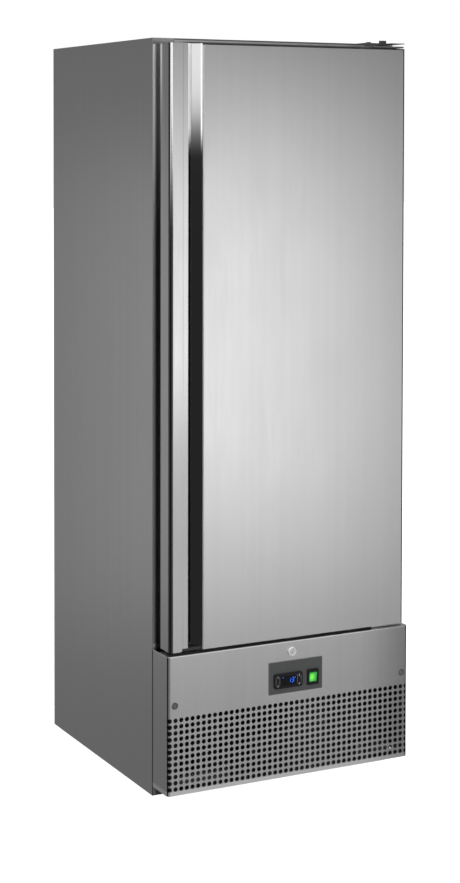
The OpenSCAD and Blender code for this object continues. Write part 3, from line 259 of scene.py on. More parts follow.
# Floor: it gives off a pale light, apart from a painted shadow, a soft-edged patch under the cabinet that
# gives off none
floorShadow = {"left": (-0.30, -0.20), "right": (0.38, 0.50), "front": (-0.27, -0.19), "rear": (0.30, 0.42)}


def layFloor():
    bpy.ops.mesh.primitive_plane_add(size=80, location=(0, 0, 0))
    floor = bpy.context.object
    floor.name = "paleFloor"
    paint = Finish("floorPaint", (0.93, 0.93, 0.93), rough=0.9, Emission_Strength=studio["floorGlow"])
    paint.set(Base_Color=paint.mix(paint.noise(paint.place(), 0.6), (0.92, 0.92, 0.92), (0.94, 0.94, 0.94)))
    x, y, _ = paint.axes()
    # painted shadow under the cabinet, where the floor gives off no light
    paintedShadow = x.rise(*floorShadow["left"]) * (1.0 - x.rise(*floorShadow["right"]))
    paintedShadow = paintedShadow * y.rise(*floorShadow["front"]) * (1.0 - y.rise(*floorShadow["rear"]))
    paint.set(Emission_Color=paint.mix(paintedShadow, (1.0, 1.0, 1.0), (0.0, 0.0, 0.0)))
    floor.data.materials.append(paint.material)
    floor.visible_glossy = False


# Each lamp: spot, what it looks at, width, height, power in watts
lamps = {
    "doorSoftbox": ((1.05, -3.3, 0.85), (0.0, -0.36, 1.1), 1.7, 1.9, 18.0),
    "skyPanel": ((0.0, -1.0, 4.5), (0.0, 0.0, 0.0), 5.0, 5.0, 160.0),
    "sideStrip": ((-2.05, 2.4, 0.65), (-0.35, 0.0, 0.65), 0.8, 1.9, 2.2),
}


def hangLamps():
    for name, (spot, target, width, height, power) in lamps.items():
        data = bpy.data.lights.new(name, "AREA")
        data.shape = "RECTANGLE"
        data.size = width
        data.size_y = height
        data.energy = power
        lamp = bpy.data.objects.new(name, data)
        bpy.context.scene.collection.objects.link(lamp)
        lamp.visible_camera = False
        lamp.visible_glossy = name != "skyPanel"
        aim = Vector(target) - Vector(spot)
        lamp.matrix_world = Matrix.Translation(spot) @ aim.to_track_quat("-Z", "Y").to_matrix().to_4x4()


placeCamera()
paintAir()
layFloor()
hangLamps()
bpy.context.scene.view_settings.view_transform = "Standard"
print("stage: studio ready")


# Places that several pieces share, in metres
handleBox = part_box("door_handle")
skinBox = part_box("door_skin")
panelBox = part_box("grille_panel")
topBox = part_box("top_panel")
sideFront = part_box("side_panel_left")[0][1]
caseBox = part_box("thermostat_case")
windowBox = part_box("display_window")
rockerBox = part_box("rocker")
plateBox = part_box("control_plate")
handleLeft, handleFront = handleBox[0][0], handleBox[0][1]
gripRight = handleLeft + 0.035  # the end of the flat grip, where the finger trough begins
lipRight = handleLeft + 0.050  # where the lip across the trough begins
far = 3.0  # past the object's end on every side


def middleOf(box):
    return [(low + high) / 2 for low, high in zip(*box)]


def pickOnly(piece):
    bpy.ops.object.select_all(action="DESELECT")
    piece.select_set(True)
    bpy.context.view_layer.objects.active = piece


def boxMask(finish, *spans, soft=0.0004):  # 1 inside the spans, each an axis and two ends in metres
    places = dict(zip("XYZ", finish.axes()))
    mask = 1.0
    for axis, low, high in spans:
        along = places[axis]
        mask = mask * along.rise(low - soft, low + soft) * (1.0 - along.rise(high - soft, high + soft))
    return mask


# Brushed stainless steel of the cabinet, door and vent panel
steel = {
    "tone": (0.60, 0.60, 0.60),
    "rough": 0.36,
    "smooth": 0.08,  # roughness of the bends and of the finger trough
    "flangeRough": 0.30,  # and of the cabinet's front edges
    "flangeDeep": 0.0015,  # how far such an edge reaches back
    "grain": 900.0,  # lines per metre
    "streaks": 60.0,  # wider ones, also per metre
    "bend": 0.0065,  # reach of the rounded vertical edges
    "shade": (0.020, 0.020, 0.021),  # vent holes, creases and edges that face away from the light
    "deep": (0.060, 0.060, 0.061),  # painted shade on the lower part of the finger trough and on the flanges of the cabinet
    "bead": (0.95, 0.95, 0.95),  # painted highlight on edges that catch the upright light
    "unmetal": 0.8,  # an edge with the painted highlight is that much less metallic, so that it shines from every side
}
bend = steel["bend"]
smoothBoxes = {  # where each piece is bent, and mirrors more clearly
    "side_panel_left": [[("Y", -far, sideFront + steel["flangeDeep"])]],
    "side_panel_right": [[("Y", -far, sideFront + steel["flangeDeep"])]],
    "door_handle": [
        [("X", gripRight, far), ("Y", handleFront + 0.0045, far)],
        [("X", -far, handleLeft + bend), ("Y", -far, handleFront + bend)]],
    "door_skin": [
        [("X", skinBox[1][0] - bend, far), ("Y", -far, skinBox[0][1] + bend)]],
    "grille_panel": [
        [("X", -far, panelBox[0][0] + bend), ("Y", -far, panelBox[0][1] + bend)],
        [("X", panelBox[1][0] - bend, far), ("Y", -far, panelBox[0][1] + bend)]],
}

# Vent panel: its punched holes round off inwards and hold painted shade; a painted highlight makes its folds
# above and below pale
vents = {"pitch": 0.0156, "across": 41, "rows": 12, "lowest": 0.0165, "hole": 0.0053, "rim": 0.0014}
ventLook = {
    "rimRough": 0.30,
    # painted highlight on the folds above and below
    "fold": (0.90, 0.90, 0.90),
    "lowerFold": (0.0104, 0.0114),  # it ends between these heights above the lower edge
    "upperFold": (0.0034, 0.0022),  # it begins between these depths below the upper edge
    "shadeFrom": (0.18, 0.36),  # painted shade makes the panel darker to the right
    "shadeMost": 0.40,
}


def ventRims(finish):
    x, _, z = finish.axes()
    pitch = vents["pitch"]
    low = panelBox[0][2] + vents["lowest"]
    across = (x / pitch + 0.5).maths("FRACT") - 0.5
    up = ((z - low) / pitch + 0.5).maths("FRACT") - 0.5
    reach = (across * across + up * up).maths("SQRT") * pitch
    rim = 1.0 - reach.rise(vents["hole"] + 0.0003, vents["hole"] + vents["rim"])
    rows = ("Z", low - pitch / 2, low + (vents["rows"] - 0.5) * pitch)
    inside = 1.0 - reach.rise(vents["hole"] + 0.0002, vents["hole"] + 0.0005)
    return rim * boxMask(finish, rows, ("Y", -far, panelBox[0][1] + 0.0001)), inside * boxMask(finish, rows)


def ventSteel(finish, wear, paint, relief):
    x, _, z = finish.axes()
    rim, inside = ventRims(finish)
    wear = wear * (1.0 - rim) + ventLook["rimRough"] * rim
    relief = relief * 0.1 - rim * 2.0
    # painted highlight on the folds above and below
    lowerFold = 1.0 - z.rise(*(panelBox[0][2] + height for height in ventLook["lowerFold"]))
    upperFold = z.rise(*(panelBox[1][2] - depth for depth in ventLook["upperFold"]))
    paint = finish.mix(lowerFold.most(upperFold), paint, ventLook["fold"])
    # painted shade inside the holes, and growing towards the right
    dark = inside.most(x.rise(*ventLook["shadeFrom"]) * ventLook["shadeMost"])
    return wear, finish.mix(dark, paint, steel["shade"]), relief


# Side panels: painted shade darkens the flange beside the door and behind the vent panel, and a painted
# highlight draws a light line along its outer edge
sideLook = {
    "dark": (0.3375, 0.3470),  # it ends between these distances from the middle
    "darkLess": 0.55,  # and is that much weaker at the top
    "lessFrom": (1.4, 1.9),
    "line": ((0.3365, 0.3465), (0.3479, 0.3488)),  # it comes in, and goes out
    "lineLow": 0.12,
    "lineMore": 0.42,  # towards the top
    "moreFrom": (1.35, 1.80),
}


def sideSteel(finish, wear, paint, relief):
    x, _, z = finish.axes()
    # painted shade on the flange, weaker at the top, and on all of it behind the vent panel
    inner = 1.0 - abs(x).rise(*sideLook["dark"])
    inner = inner * (1.0 - sideLook["darkLess"] * z.rise(*sideLook["lessFrom"]))
    behindVents = 1.0 - z.rise(panelBox[1][2] - 0.002, panelBox[1][2])
    front = boxMask(finish, ("Y", -far, sideFront + steel["flangeDeep"]), ("Z", -far, handleBox[1][2]))
    paint = finish.mix(front * inner.most(behindVents), paint, steel["deep"])
    # painted highlight: a light, less metallic line along the flange's outer edge
    comes, goes = sideLook["line"]
    line = abs(x).rise(*comes) * (1.0 - abs(x).rise(*goes)) * front
    line = line * (sideLook["lineLow"] + sideLook["lineMore"] * z.rise(*sideLook["moreFrom"]))
    finish.set(Metallic=1.0 - line * steel["unmetal"])
    return wear, finish.mix(line, paint, steel["bead"]), relief


# Top panel: a painted highlight makes its front fold pale, and painted shade darkens it along the upper edge
# and, except at the left, below
topLook = {
    "fold": (0.85, 0.85, 0.85),
    "edge": 0.0038,  # the dark edge reaches so far down
    "under": (0.0088, 0.0072),  # the dark part begins between these depths
    "underFrom": (-0.28, -0.25),
    "dark": 0.75,
}


def topSteel(finish, wear, paint, relief):
    x, _, z = finish.axes()
    top = topBox[1][2]
    edge = boxMask(finish, ("Z", top - topLook["edge"], far), soft=0.0008)
    under = (1.0 - z.rise(*(top - depth for depth in topLook["under"]))) * x.rise(*topLook["underFrom"])
    front = boxMask(finish, ("Y", -far, topBox[0][1] + 0.0004))
    # painted highlight on the front fold, then painted shade along its upper edge and below
    paint = finish.mix(front, paint, topLook["fold"])
    return wear, finish.mix(front * edge.most(under) * topLook["dark"], paint, steel["shade"]), relief


# Handle: painted shade and painted highlights in place of the studio's light on it. Each has boxes, a
# strength, and heights between which it comes in or goes out
handleMarks = {
    "trough": {"strength": 1.0, "goes": (1.61, 1.735), "boxes": [
        [("X", gripRight, far), ("Y", handleFront + 0.0060, far)],
        [("X", lipRight + 0.0300, far)]]},
    "lipBack": {"strength": 0.80, "boxes": [
        [("X", lipRight + 0.0100, lipRight + 0.0155), ("Y", -0.345, far)]]},
    "corner": {"strength": 0.85, "goes": (1.42, 1.66), "boxes": [
        [("X", -far, handleLeft + 0.0078), ("Y", -far, handleFront + 0.0065)]]},
    "beside": {"strength": 0.8, "boxes": [
        [("X", -far, handleLeft + 0.0012), ("Y", handleFront + 0.0016, handleFront + 0.0125)]]},
    "crease": {"strength": 0.20, "soft": 0.0008, "boxes": [
        [("X", gripRight - 0.0012, gripRight + 0.0012), ("Y", -far, handleFront + 0.0005)]]},
    "rear": {"strength": 0.7, "goes": (1.60, 1.75), "boxes": [
        [("X", -far, handleLeft + 0.0005), ("Y", -0.3070, far)]]},
    "low": {"strength": 0.32, "comes": (0.35, 0.75), "goes": (0.82, 1.15), "boxes": [
        [("X", -far, lipRight), ("Y", -far, handleFront + 0.0020)]]},
    "lip": {"strength": 1.0, "comes": (1.62, 1.70), "boxes": [
        [("X", lipRight - 0.0016, lipRight + 0.002), ("Y", -far, handleFront + 0.0046)],
        [("X", lipRight + 0.0102, lipRight + 0.0148), ("Y", -0.345, -0.330)],
        [("X", lipRight + 0.0358, far), ("Y", -far, -0.3545)]]},
    "line": {"strength": 0.8, "comes": (1.48, 1.75), "boxes": [
        [("X", handleLeft + 0.0022, handleLeft + 0.0058), ("Y", -far, handleFront + 0.0005)]]},
    "back": {"strength": 0.40, "comes": (1.70, 1.88), "boxes": [
        [("X", -far, handleLeft + 0.0005), ("Y", -0.3135, far)]]},
}
# marks painted as shade, and marks painted as highlights
shadeMarks = ("corner", "beside", "crease", "rear", "low")
highlightMarks = ("lip", "line", "back")


def marksOn(finish, names):  # the strongest of the named marks at each place
    height = finish.axes()[2]
    strongest = None
    for mark in (handleMarks[name] for name in names):
        boxes = [boxMask(finish, *spans, soft=mark.get("soft", 0.0004)) for spans in mark["boxes"]]
        mask = boxes[0]
        for other in boxes[1:]:
            mask = mask.most(other)
        mask = mask * mark["strength"]
        if "comes" in mark:
            mask = mask * height.rise(*mark["comes"])
        if "goes" in mark:
            mask = mask * (1.0 - height.rise(*mark["goes"]))
        strongest = strongest.most(mask) if strongest else mask
    return strongest


def handleSteel(finish, wear, paint, relief):
    # painted shade on the lower finger trough, less beside the lip's back, and at the shade marks; painted
    # highlights at the others
    trough = marksOn(finish, ["trough"]) * (1.0 - marksOn(finish, ["lipBack"]))
    paint = finish.mix(trough, paint, steel["deep"])
    paint = finish.mix(marksOn(finish, shadeMarks), paint, steel["shade"])
    bead = marksOn(finish, highlightMarks)
    finish.set(Metallic=1.0 - bead * steel["unmetal"])
    return wear, finish.mix(bead, paint, steel["bead"]), relief


def brushedSteel(name, ownLook):
    tone = steel["tone"]
    finish = Finish(name + "Steel", tone, steel["rough"], Metallic=1.0)
    upright = finish.place((1, 1, 0.012))
    grain = finish.noise(upright, steel["grain"], 3.0, 0.6)
    streaks = finish.noise(upright, steel["streaks"], 2.0)
    clouds = finish.noise(finish.place(), 3.0, 3.0)
    smears = finish.noise(finish.place((1, 1, 0.35)), 9.0, 4.0, 0.6)  # faint wipe marks
    wear = (grain - 0.5) * 0.16 + (clouds - 0.5) * 0.06 + (smears - 0.5) * 0.05 + steel["rough"]
    paint = finish.mix(streaks * 0.6 + grain * 0.4, tuple(0.94 * c for c in tone),
                       tuple(1.06 * c for c in tone))
    relief = grain
    smooth = steel["flangeRough" if name.startswith("side") else "smooth"]
    for spans in smoothBoxes.get(name, ()):
        mask = boxMask(finish, *spans)
        wear = wear * (1.0 - mask) + smooth * mask
        relief = relief * (1.0 - mask)
    if ownLook:
        wear, paint, relief = ownLook(finish, wear, paint, relief)
    finish.set(Roughness=wear, Base_Color=paint)
    finish.bump(relief, 0.10, 0.00015)
    return finish


def spangled(name, tone, rough, scale):  # galvanised sheet with its crystals
    finish = Finish(name, tone, rough, Metallic=1.0)
    crystals = finish.add("ShaderNodeTexVoronoi", None, {"Vector": finish.place(), "Scale": scale})
    share = crystals.side("Color") * 1.0  # one number for each crystal
    clouds = finish.noise(finish.place(), 7.0, 3.0)
    finish.set(
        Roughness=rough + (share - 0.5) * 0.14 + (clouds - 0.5) * 0.10,
        Base_Color=finish.mix(share * 0.7 + clouds * 0.3, tuple(0.82 * c for c in tone),
                              tuple(1.12 * c for c in tone)))
    finish.bump(finish.noise(finish.place(), 420.0, 2.0), 0.08, 0.0001)
    return finish


def moulded(name, tone, rough, grain=700.0, depth=0.00008, spread=0.10, **fixed):  # plastics and rubber
    finish = Finish(name, tone, rough=rough, **fixed)
    speck = finish.noise(finish.place(), grain, 2.0)
    clouds = finish.noise(finish.place(), 11.0, 4.0, 0.6)
    finish.set(
        Roughness=rough + (speck - 0.5) * 0.12 + (clouds - 0.5) * 0.08,
        Base_Color=finish.mix(clouds * 0.7 + speck * 0.3, tuple((1 - spread) * c for c in tone),
                              tuple((1 + spread) * c for c in tone)))
    finish.bump(speck, 0.35, depth)
    return finish


def lacquered(name, tone, rough, peel=160.0, dust=0.0, **fixed):  # painted sheet metal
    finish = Finish(name, tone, rough=rough, **fixed)
    waves = finish.noise(finish.place(), peel, 2.0)
    clouds = finish.noise(finish.place(), 4.0, 4.0, 0.55)
    finish.set(
        Roughness=rough + (waves - 0.5) * 0.08 + (clouds - 0.5) * 0.12,
        Base_Color=finish.mix(clouds, tuple(0.94 * c for c in tone), tuple(min(1.0, 1.03 * c) for c in tone)))
    if dust:
        settled = clouds.rise(0.45, 0.75) * dust
        finish.set(Base_Color=finish.mix(settled, tone, (0.30, 0.28, 0.25)))
    finish.bump(waves, 0.12, 0.0004)
    return finish


def drawnMetal(name, tone, rough, stain, **fixed):  # copper, fins, plated parts
    finish = Finish(name, tone, rough=rough, **{"Metallic": 1.0, **fixed})
    clouds = finish.noise(finish.place(), 26.0, 5.0, 0.65)
    lines = finish.noise(finish.place((1, 1, 0.05)), 500.0, 2.0)
    finish.set(
        Roughness=rough + (clouds - 0.5) * 0.25 + (lines - 0.5) * 0.08,
        Base_Color=finish.mix(clouds.rise(0.35, 0.85), tone, stain))
    finish.bump(lines, 0.10, 0.0001)
    return finish


def cellFoam():
    finish = Finish("rigidFoam", (0.80, 0.70, 0.42), rough=0.9)
    cells = finish.add("ShaderNodeTexVoronoi", None, {"Vector": finish.place(), "Scale": 700.0})
    clouds = finish.noise(finish.place(), 14.0, 4.0)
    finish.set(Base_Color=finish.mix(clouds, (0.74, 0.62, 0.34), (0.86, 0.77, 0.50)))
    finish.bump(cells, 0.4, 0.0006)
    return finish


# Control plate: dark grey with a paler rim
plateLook = {
    "tone": (0.034, 0.035, 0.036), "darker": (0.029, 0.030, 0.031), "paler": (0.040, 0.041, 0.042),
    "rimTone": (0.15, 0.15, 0.15), "rim": 0.0010,
}


def plateFinish():
    finish = Finish("plateGrey", plateLook["tone"], rough=0.45)
    rim = plateLook["rim"]
    inner = boxMask(finish, ("X", plateBox[0][0] + rim, plateBox[1][0] - rim),
                    ("Z", plateBox[0][2] + rim, plateBox[1][2] - rim), soft=0.0002)
    speck = finish.noise(finish.place(), 1400.0, 2.0)
    clouds = finish.noise(finish.place(), 20.0, 3.0)
    body = finish.mix(speck, plateLook["darker"], plateLook["paler"])
    finish.set(Base_Color=finish.mix(inner, plateLook["rimTone"], body),
               Roughness=0.42 + (speck - 0.5) * 0.1 + (clouds - 0.5) * 0.1)
    finish.bump(speck, 0.3, 0.00006)
    return finish


lit = {"rocker": 0.55, "digits": 1.15, "lamp": 1.4}  # how strongly each one shines
rockerLamp = {  # inside the rocker
    "right": 0.0035,  # of its middle
    "squash": 0.75,  # its light reaches further up and down than sideways
    "reach": 0.012,
    "litHalf": 0.0108,  # half the height of the part that shines
}


def litRocker():  # translucent green, brighter where the lamp inside stands
    finish = Finish("litGreen", (0.04, 0.55, 0.08), rough=0.22, Coat_Weight=0.4)
    middle = middleOf(rockerBox)
    squash = rockerLamp["squash"]
    fromLamp = finish.add("ShaderNodeVectorMath", {"operation": "LENGTH"}, {
        0: finish.place((1, 0, squash), (rockerLamp["right"] - middle[0], 0, -squash * middle[2]))})
    near = 1.0 - fromLamp.side("Value").rise(0.0, rockerLamp["reach"])
    half = rockerLamp["litHalf"]
    inner = boxMask(finish, ("Z", middle[2] - half, middle[2] + half), soft=0.0009)
    speck = finish.noise(finish.place(), 900.0, 2.0)
    glow = finish.mix(near, (0.01, 0.26, 0.02), (0.20, 1.0, 0.05))
    finish.set(
        Emission_Color=finish.mix(inner, (0.002, 0.02, 0.003), glow),
        Base_Color=finish.mix(near, (0.015, 0.16, 0.02), (0.04, 0.35, 0.03)),
        Roughness=0.20 + speck * 0.06, Emission_Strength=lit["rocker"])
    return finish


def glowing(name, tone, strength, paler):
    finish = Finish(name, tone, rough=0.4)
    clouds = finish.noise(finish.place(), 300.0, 2.0)
    finish.set(Emission_Color=finish.mix(clouds, tone, paler), Emission_Strength=strength,
               Base_Color=finish.mix(clouds, tuple(0.5 * c for c in tone), tuple(0.5 * c for c in paler)),
               Roughness=0.35 + clouds * 0.1)
    return finish


finishes = {
    "zincSheet": spangled("zincSheet", (0.52, 0.53, 0.54), 0.40, 75.0),
    "zincPlate": spangled("zincPlate", (0.62, 0.62, 0.60), 0.34, 320.0),
    "boltSteel": drawnMetal("boltSteel", (0.20, 0.20, 0.21), 0.30, (0.10, 0.10, 0.10)),
    "dullZinc": drawnMetal("dullZinc", (0.30, 0.30, 0.30), 0.35, (0.21, 0.21, 0.21)),
    "linerWhite": lacquered("linerWhite", (0.80, 0.81, 0.81), 0.34),
    "blackPaint": lacquered("blackPaint", (0.020, 0.020, 0.021), 0.36, dust=0.35),
    "darkPlastic": moulded("darkPlastic", (0.045, 0.045, 0.047), 0.48),
    "plateGrey": plateFinish(),
    "blackGloss": moulded("blackGloss", (0.005, 0.005, 0.006), 0.30, 1600.0, 0.00003,
                          Specular_IOR_Level=0.25),
    "windowBlack": moulded("windowBlack", (0.004, 0.004, 0.005), 0.20, 300.0, 0.00001,
                           Specular_IOR_Level=0.22),
    "keyBlack": moulded("keyBlack", (0.006, 0.006, 0.007), 0.36, 1500.0, 0.00004, Specular_IOR_Level=0.25),
    "litGreen": litRocker(),
    "capGrey": moulded("capGrey", (0.055, 0.055, 0.058), 0.33, 900.0, 0.00004),
    "chrome": drawnMetal("chrome", (0.82, 0.82, 0.83), 0.16, (0.66, 0.66, 0.67), Metallic=0.70),
    "gasketGrey": moulded("gasketGrey", (0.010, 0.010, 0.011), 0.62, 500.0, 0.0001, Specular_IOR_Level=0.15),
    "rubberBlack": moulded("rubberBlack", (0.014, 0.014, 0.014), 0.70, 400.0, 0.0002),
    "capBlack": moulded("capBlack", (0.013, 0.013, 0.014), 0.42, 1000.0, 0.00006),
    "whitePlastic": moulded("whitePlastic", (0.80, 0.80, 0.78), 0.34, 500.0, 0.00004, 0.03),
    "copper": drawnMetal("copper", (0.80, 0.42, 0.26), 0.28, (0.36, 0.17, 0.10)),
    "fins": drawnMetal("fins", (0.74, 0.75, 0.76), 0.32, (0.56, 0.57, 0.58)),
    "shelfCoat": moulded("shelfCoat", (0.68, 0.69, 0.69), 0.36, 240.0, 0.00008, 0.04),
    "lampWhite": glowing("lampWhite", (0.86, 0.90, 0.95), lit["lamp"], (0.96, 0.98, 1.0)),
    "rigidFoam": cellFoam(),
    "litBlue": glowing("litBlue", (0.0, 0.07, 1.0), lit["digits"], (0.0, 0.22, 1.0)),
    "printWhite": moulded("printWhite", (0.34, 0.35, 0.34), 0.5, 900.0, 0.00002, 0.05),
}
nodeFinish = {
    "zincSheet": "back_panel lower_rail base_tray rear_cover",
    "zincPlate": "bottom_hinge_plate shelf_rails shelf_runners foot_front_left foot_front_right "
                 "foot_rear_left foot_rear_right",
    "boltSteel": "hinge_bolts",
    "dullZinc": "top_hinge_plate",
    "linerWhite": "inner_liner evaporator_cover door_liner",
    "blackPaint": "compressor condenser_coil condenser_shroud condenser_fan_motor",
    "darkPlastic": "relay_box drip_tray power_inlet evaporator_fan_motor condenser_fan evaporator_fan",
    "plateGrey": "control_plate",
    "blackGloss": "thermostat_case switch_bezel",
    "windowBlack": "display_window",
    "keyBlack": "key_set key_light key_up key_down",
    "litGreen": "rocker",
    "capGrey": "panel_screws",
    "chrome": "lock_housing lock_plug",
    "gasketGrey": "door_gasket",
    "rubberBlack": "compressor_mounts",
    "capBlack": "door_top_cap door_bottom_cap",
    "whitePlastic": "panel_clip drain_tube hinge_bushes",
    "copper": "refrigerant_pipes",
    "fins": "evaporator_coil",
    "shelfCoat": "shelf_1 shelf_2 shelf_3 shelf_4",
    "lampWhite": "lamp_strip",
    "rigidFoam": "cabinet_foam door_foam",
}


def paintPiece(piece, material):
    for slot in piece.material_slots:
        slot.material = material
    if not piece.material_slots:
        piece.data.materials.append(material)


for finishName, names in nodeFinish.items():
    for name in names.split():
        paintPiece(nodes[name], finishes[finishName].material)
steelPieces = {
    "side_panel_left": sideSteel, "side_panel_right": sideSteel, "top_panel": topSteel,
    "grille_panel": ventSteel, "door_skin": None, "door_handle": handleSteel,
}
for name, ownLook in steelPieces.items():
    paintPiece(nodes[name], brushedSteel(name, ownLook).material)
print("stage: finishes ready")


# Sheet and moulded pieces get the small radius of a real edge, in metres
edgeRadius = {
    "side_panel_left": 0.0008, "side_panel_right": 0.0008, "door_skin": 0.0003,
    "door_handle": 0.0006, "door_top_cap": 0.0008, "door_bottom_cap": 0.0008, "door_gasket": 0.0010,
    "control_plate": 0.0004, "thermostat_case": 0.0009, "switch_bezel": 0.0012, "rocker": 0.0006,
    "key_set": 0.0004, "key_light": 0.0004, "key_up": 0.0004, "key_down": 0.0004,
    "lock_housing": 0.0008, "lock_plug": 0.0003, "panel_clip": 0.0008, "panel_screws": 0.0003,
    "top_hinge_plate": 0.0006, "bottom_hinge_plate": 0.0005, "hinge_bolts": 0.0006,
    "lower_rail": 0.0003, "base_tray": 0.0003, "rear_cover": 0.0002, "power_inlet": 0.0006,
    "lamp_strip": 0.0020, "shelf_runners": 0.0003, "drip_tray": 0.0006, "relay_box": 0.0015,
    "condenser_shroud": 0.0005, "compressor_mounts": 0.0010, "foot_front_left": 0.0008,
    "foot_front_right": 0.0008, "foot_rear_left": 0.0008, "foot_rear_right": 0.0008,
}


def mergedCopy(name, joinFlat=True):  # a CAD node's shape as a piece of its own, in place of the node
    piece = bpy.data.objects.new(name + "Edged", nodes[name].data.copy())
    bpy.context.scene.collection.objects.link(piece)
    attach(piece, nodes[name]["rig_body"])
    pickOnly(piece)
    bpy.ops.object.mode_set(mode="EDIT")
    bpy.ops.mesh.select_all(action="SELECT")
    bpy.ops.mesh.remove_doubles(threshold=0.00002)
    if joinFlat:
        bpy.ops.mesh.dissolve_limited(angle_limit=math.radians(0.4))
    bpy.ops.mesh.select_all(action="DESELECT")
    bpy.ops.object.mode_set(mode="OBJECT")
    if piece.data.has_custom_normals:
        bpy.ops.mesh.customdata_custom_splitnormals_clear()
    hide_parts(name)
    return piece


def smoothed(piece, angle=40):  # round parts look round, and large flat faces stay flat
    pickOnly(piece)
    bpy.ops.object.shade_smooth_by_angle(angle=math.radians(angle))
    flat = piece.modifiers.new("keepFlat", "WEIGHTED_NORMAL")
    flat.mode = "FACE_AREA"
    flat.weight = 100
    flat.keep_sharp = True
    bpy.ops.object.modifier_apply(modifier=flat.name)


def roundOff(piece, width, segments=2, angle=40):
    pickOnly(piece)
    bevel = piece.modifiers.new("roundOff", "BEVEL")
    bevel.width = width
    bevel.segments = segments
    bevel.limit_method = "ANGLE"
    bevel.angle_limit = math.radians(angle)
    bpy.ops.object.modifier_apply(modifier=bevel.name)
    smoothed(piece, angle)


for name, radius in edgeRadius.items():
    roundOff(mergedCopy(name), radius)
print("stage: edges softened")


def keepSelected(piece, chosen):  # selects the faces that chosen(face) names, ready for edit mode
    for face in piece.data.polygons:
        face.select = chosen(face)
    for edge in piece.data.edges:
        edge.select = False
    for vertex in piece.data.vertices:
        vertex.select = False
    pickOnly(piece)
    bpy.ops.object.mode_set(mode="EDIT")
    bpy.ops.mesh.select_mode(type="FACE")


def keepEdges(piece, chosen):  # the same for edges, by the places of their two ends
    keepSelected(piece, lambda face: False)
    bpy.ops.object.mode_set(mode="OBJECT")
    for edge in piece.data.edges:
        edge.select = chosen(*(piece.data.vertices[index].co for index in edge.vertices))
    bpy.ops.object.mode_set(mode="EDIT")
    bpy.ops.mesh.select_mode(type="EDGE")


def bevelEdges(piece, chosen, width, segments):
    keepEdges(piece, chosen)
    bpy.ops.mesh.bevel(offset=width, segments=segments, affect="EDGES")
    bpy.ops.object.mode_set(mode="OBJECT")


def openSign(piece, line):  # a disc or block becomes a ring, line metres wide, seen from the front
    keepSelected(piece, lambda face: abs(face.normal.y) > 0.9)
    bpy.ops.mesh.inset(thickness=line)
    bpy.ops.mesh.delete(type="FACE")
    bpy.ops.mesh.select_all(action="DESELECT")
    bpy.ops.mesh.select_mode(type="EDGE")
    bpy.ops.mesh.select_non_manifold()
    bpy.ops.mesh.bridge_edge_loops()
    bpy.ops.object.mode_set(mode="OBJECT")


def newBlock(name, low, high):
    bpy.ops.object.select_all(action="DESELECT")
    bpy.ops.mesh.primitive_cube_add(size=1, location=middleOf((low, high)),
                                    scale=[b - a for a, b in zip(low, high)])
    block = bpy.context.object
    block.name = name
    bpy.ops.object.transform_apply(location=True, rotation=True, scale=True)
    return block


def newDisc(name, spot, radius, thick, sides, turn=0.0):  # a disc whose flat face looks to the front
    bpy.ops.object.select_all(action="DESELECT")
    bpy.ops.mesh.primitive_cylinder_add(vertices=sides, radius=radius, depth=thick, location=spot,
                                        rotation=(math.pi / 2, turn, 0))
    disc = bpy.context.object
    disc.name = name
    bpy.ops.object.transform_apply(location=True, rotation=True, scale=True)
    return disc


def joined(name, parts):
    bpy.ops.object.select_all(action="DESELECT")
    for part in parts:
        part.select_set(True)
    bpy.context.view_layer.objects.active = parts[0]
    bpy.ops.object.join()
    parts[0].name = name
    return parts[0]


def copied(piece, change):  # a copy with its own mesh, moved by a matrix
    twin = piece.copy()
    twin.data = piece.data.copy()
    bpy.context.scene.collection.objects.link(twin)
    twin.data.transform(change)
    return twin


def mounted(piece, body, finish):
    paintPiece(piece, finishes[finish].material)
    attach(piece, body)
    return piece


# Thermostat display: two slanted figures, a degree sign and a status light
display = {
    "tall": 0.0128,
    "wide": 0.0068,
    "bar": 0.0016,
    "thick": 0.00012,
    "lean": 0.17,
    "foot": -0.0056,  # of the figures, from the middle of the window
    "left": 0.0046,  # of the first figure's bars
    "step": 0.0040,  # from there to the second figure
    "straight": 0.70,  # share of a bar between its pointed ends
    "point": 0.15,  # what is left of its width there
    "upright": 0.92,  # length of an upright bar, as a share of its room
    "level": 0.9,  # and of a level one
    "degree": (0.0058, -0.0006),  # its middle, from the last bar and from the figures' top
    "degreeRadius": 0.00105,
    "degreeLine": 0.0006,
    "light": (-0.0165, 0.0088),  # status light, from the middle of the window
    "lightRadius": 0.0010,
    "lightThick": 0.0002,
}


def makeSegment():  # a bar of length 1, with pointed ends
    bar, half = display["bar"], display["straight"] / 2
    unit = newBlock("segment", (-half, -display["thick"], -bar / 2), (half, 0, bar / 2))
    keepSelected(unit, lambda face: abs(face.normal.x) > 0.9)
    bpy.ops.mesh.extrude_region_move()
    bpy.ops.object.mode_set(mode="OBJECT")
    for vertex in unit.data.vertices:
        if vertex.select:
            vertex.co.x *= 0.5 / half
            vertex.co.z *= display["point"]
    return unit


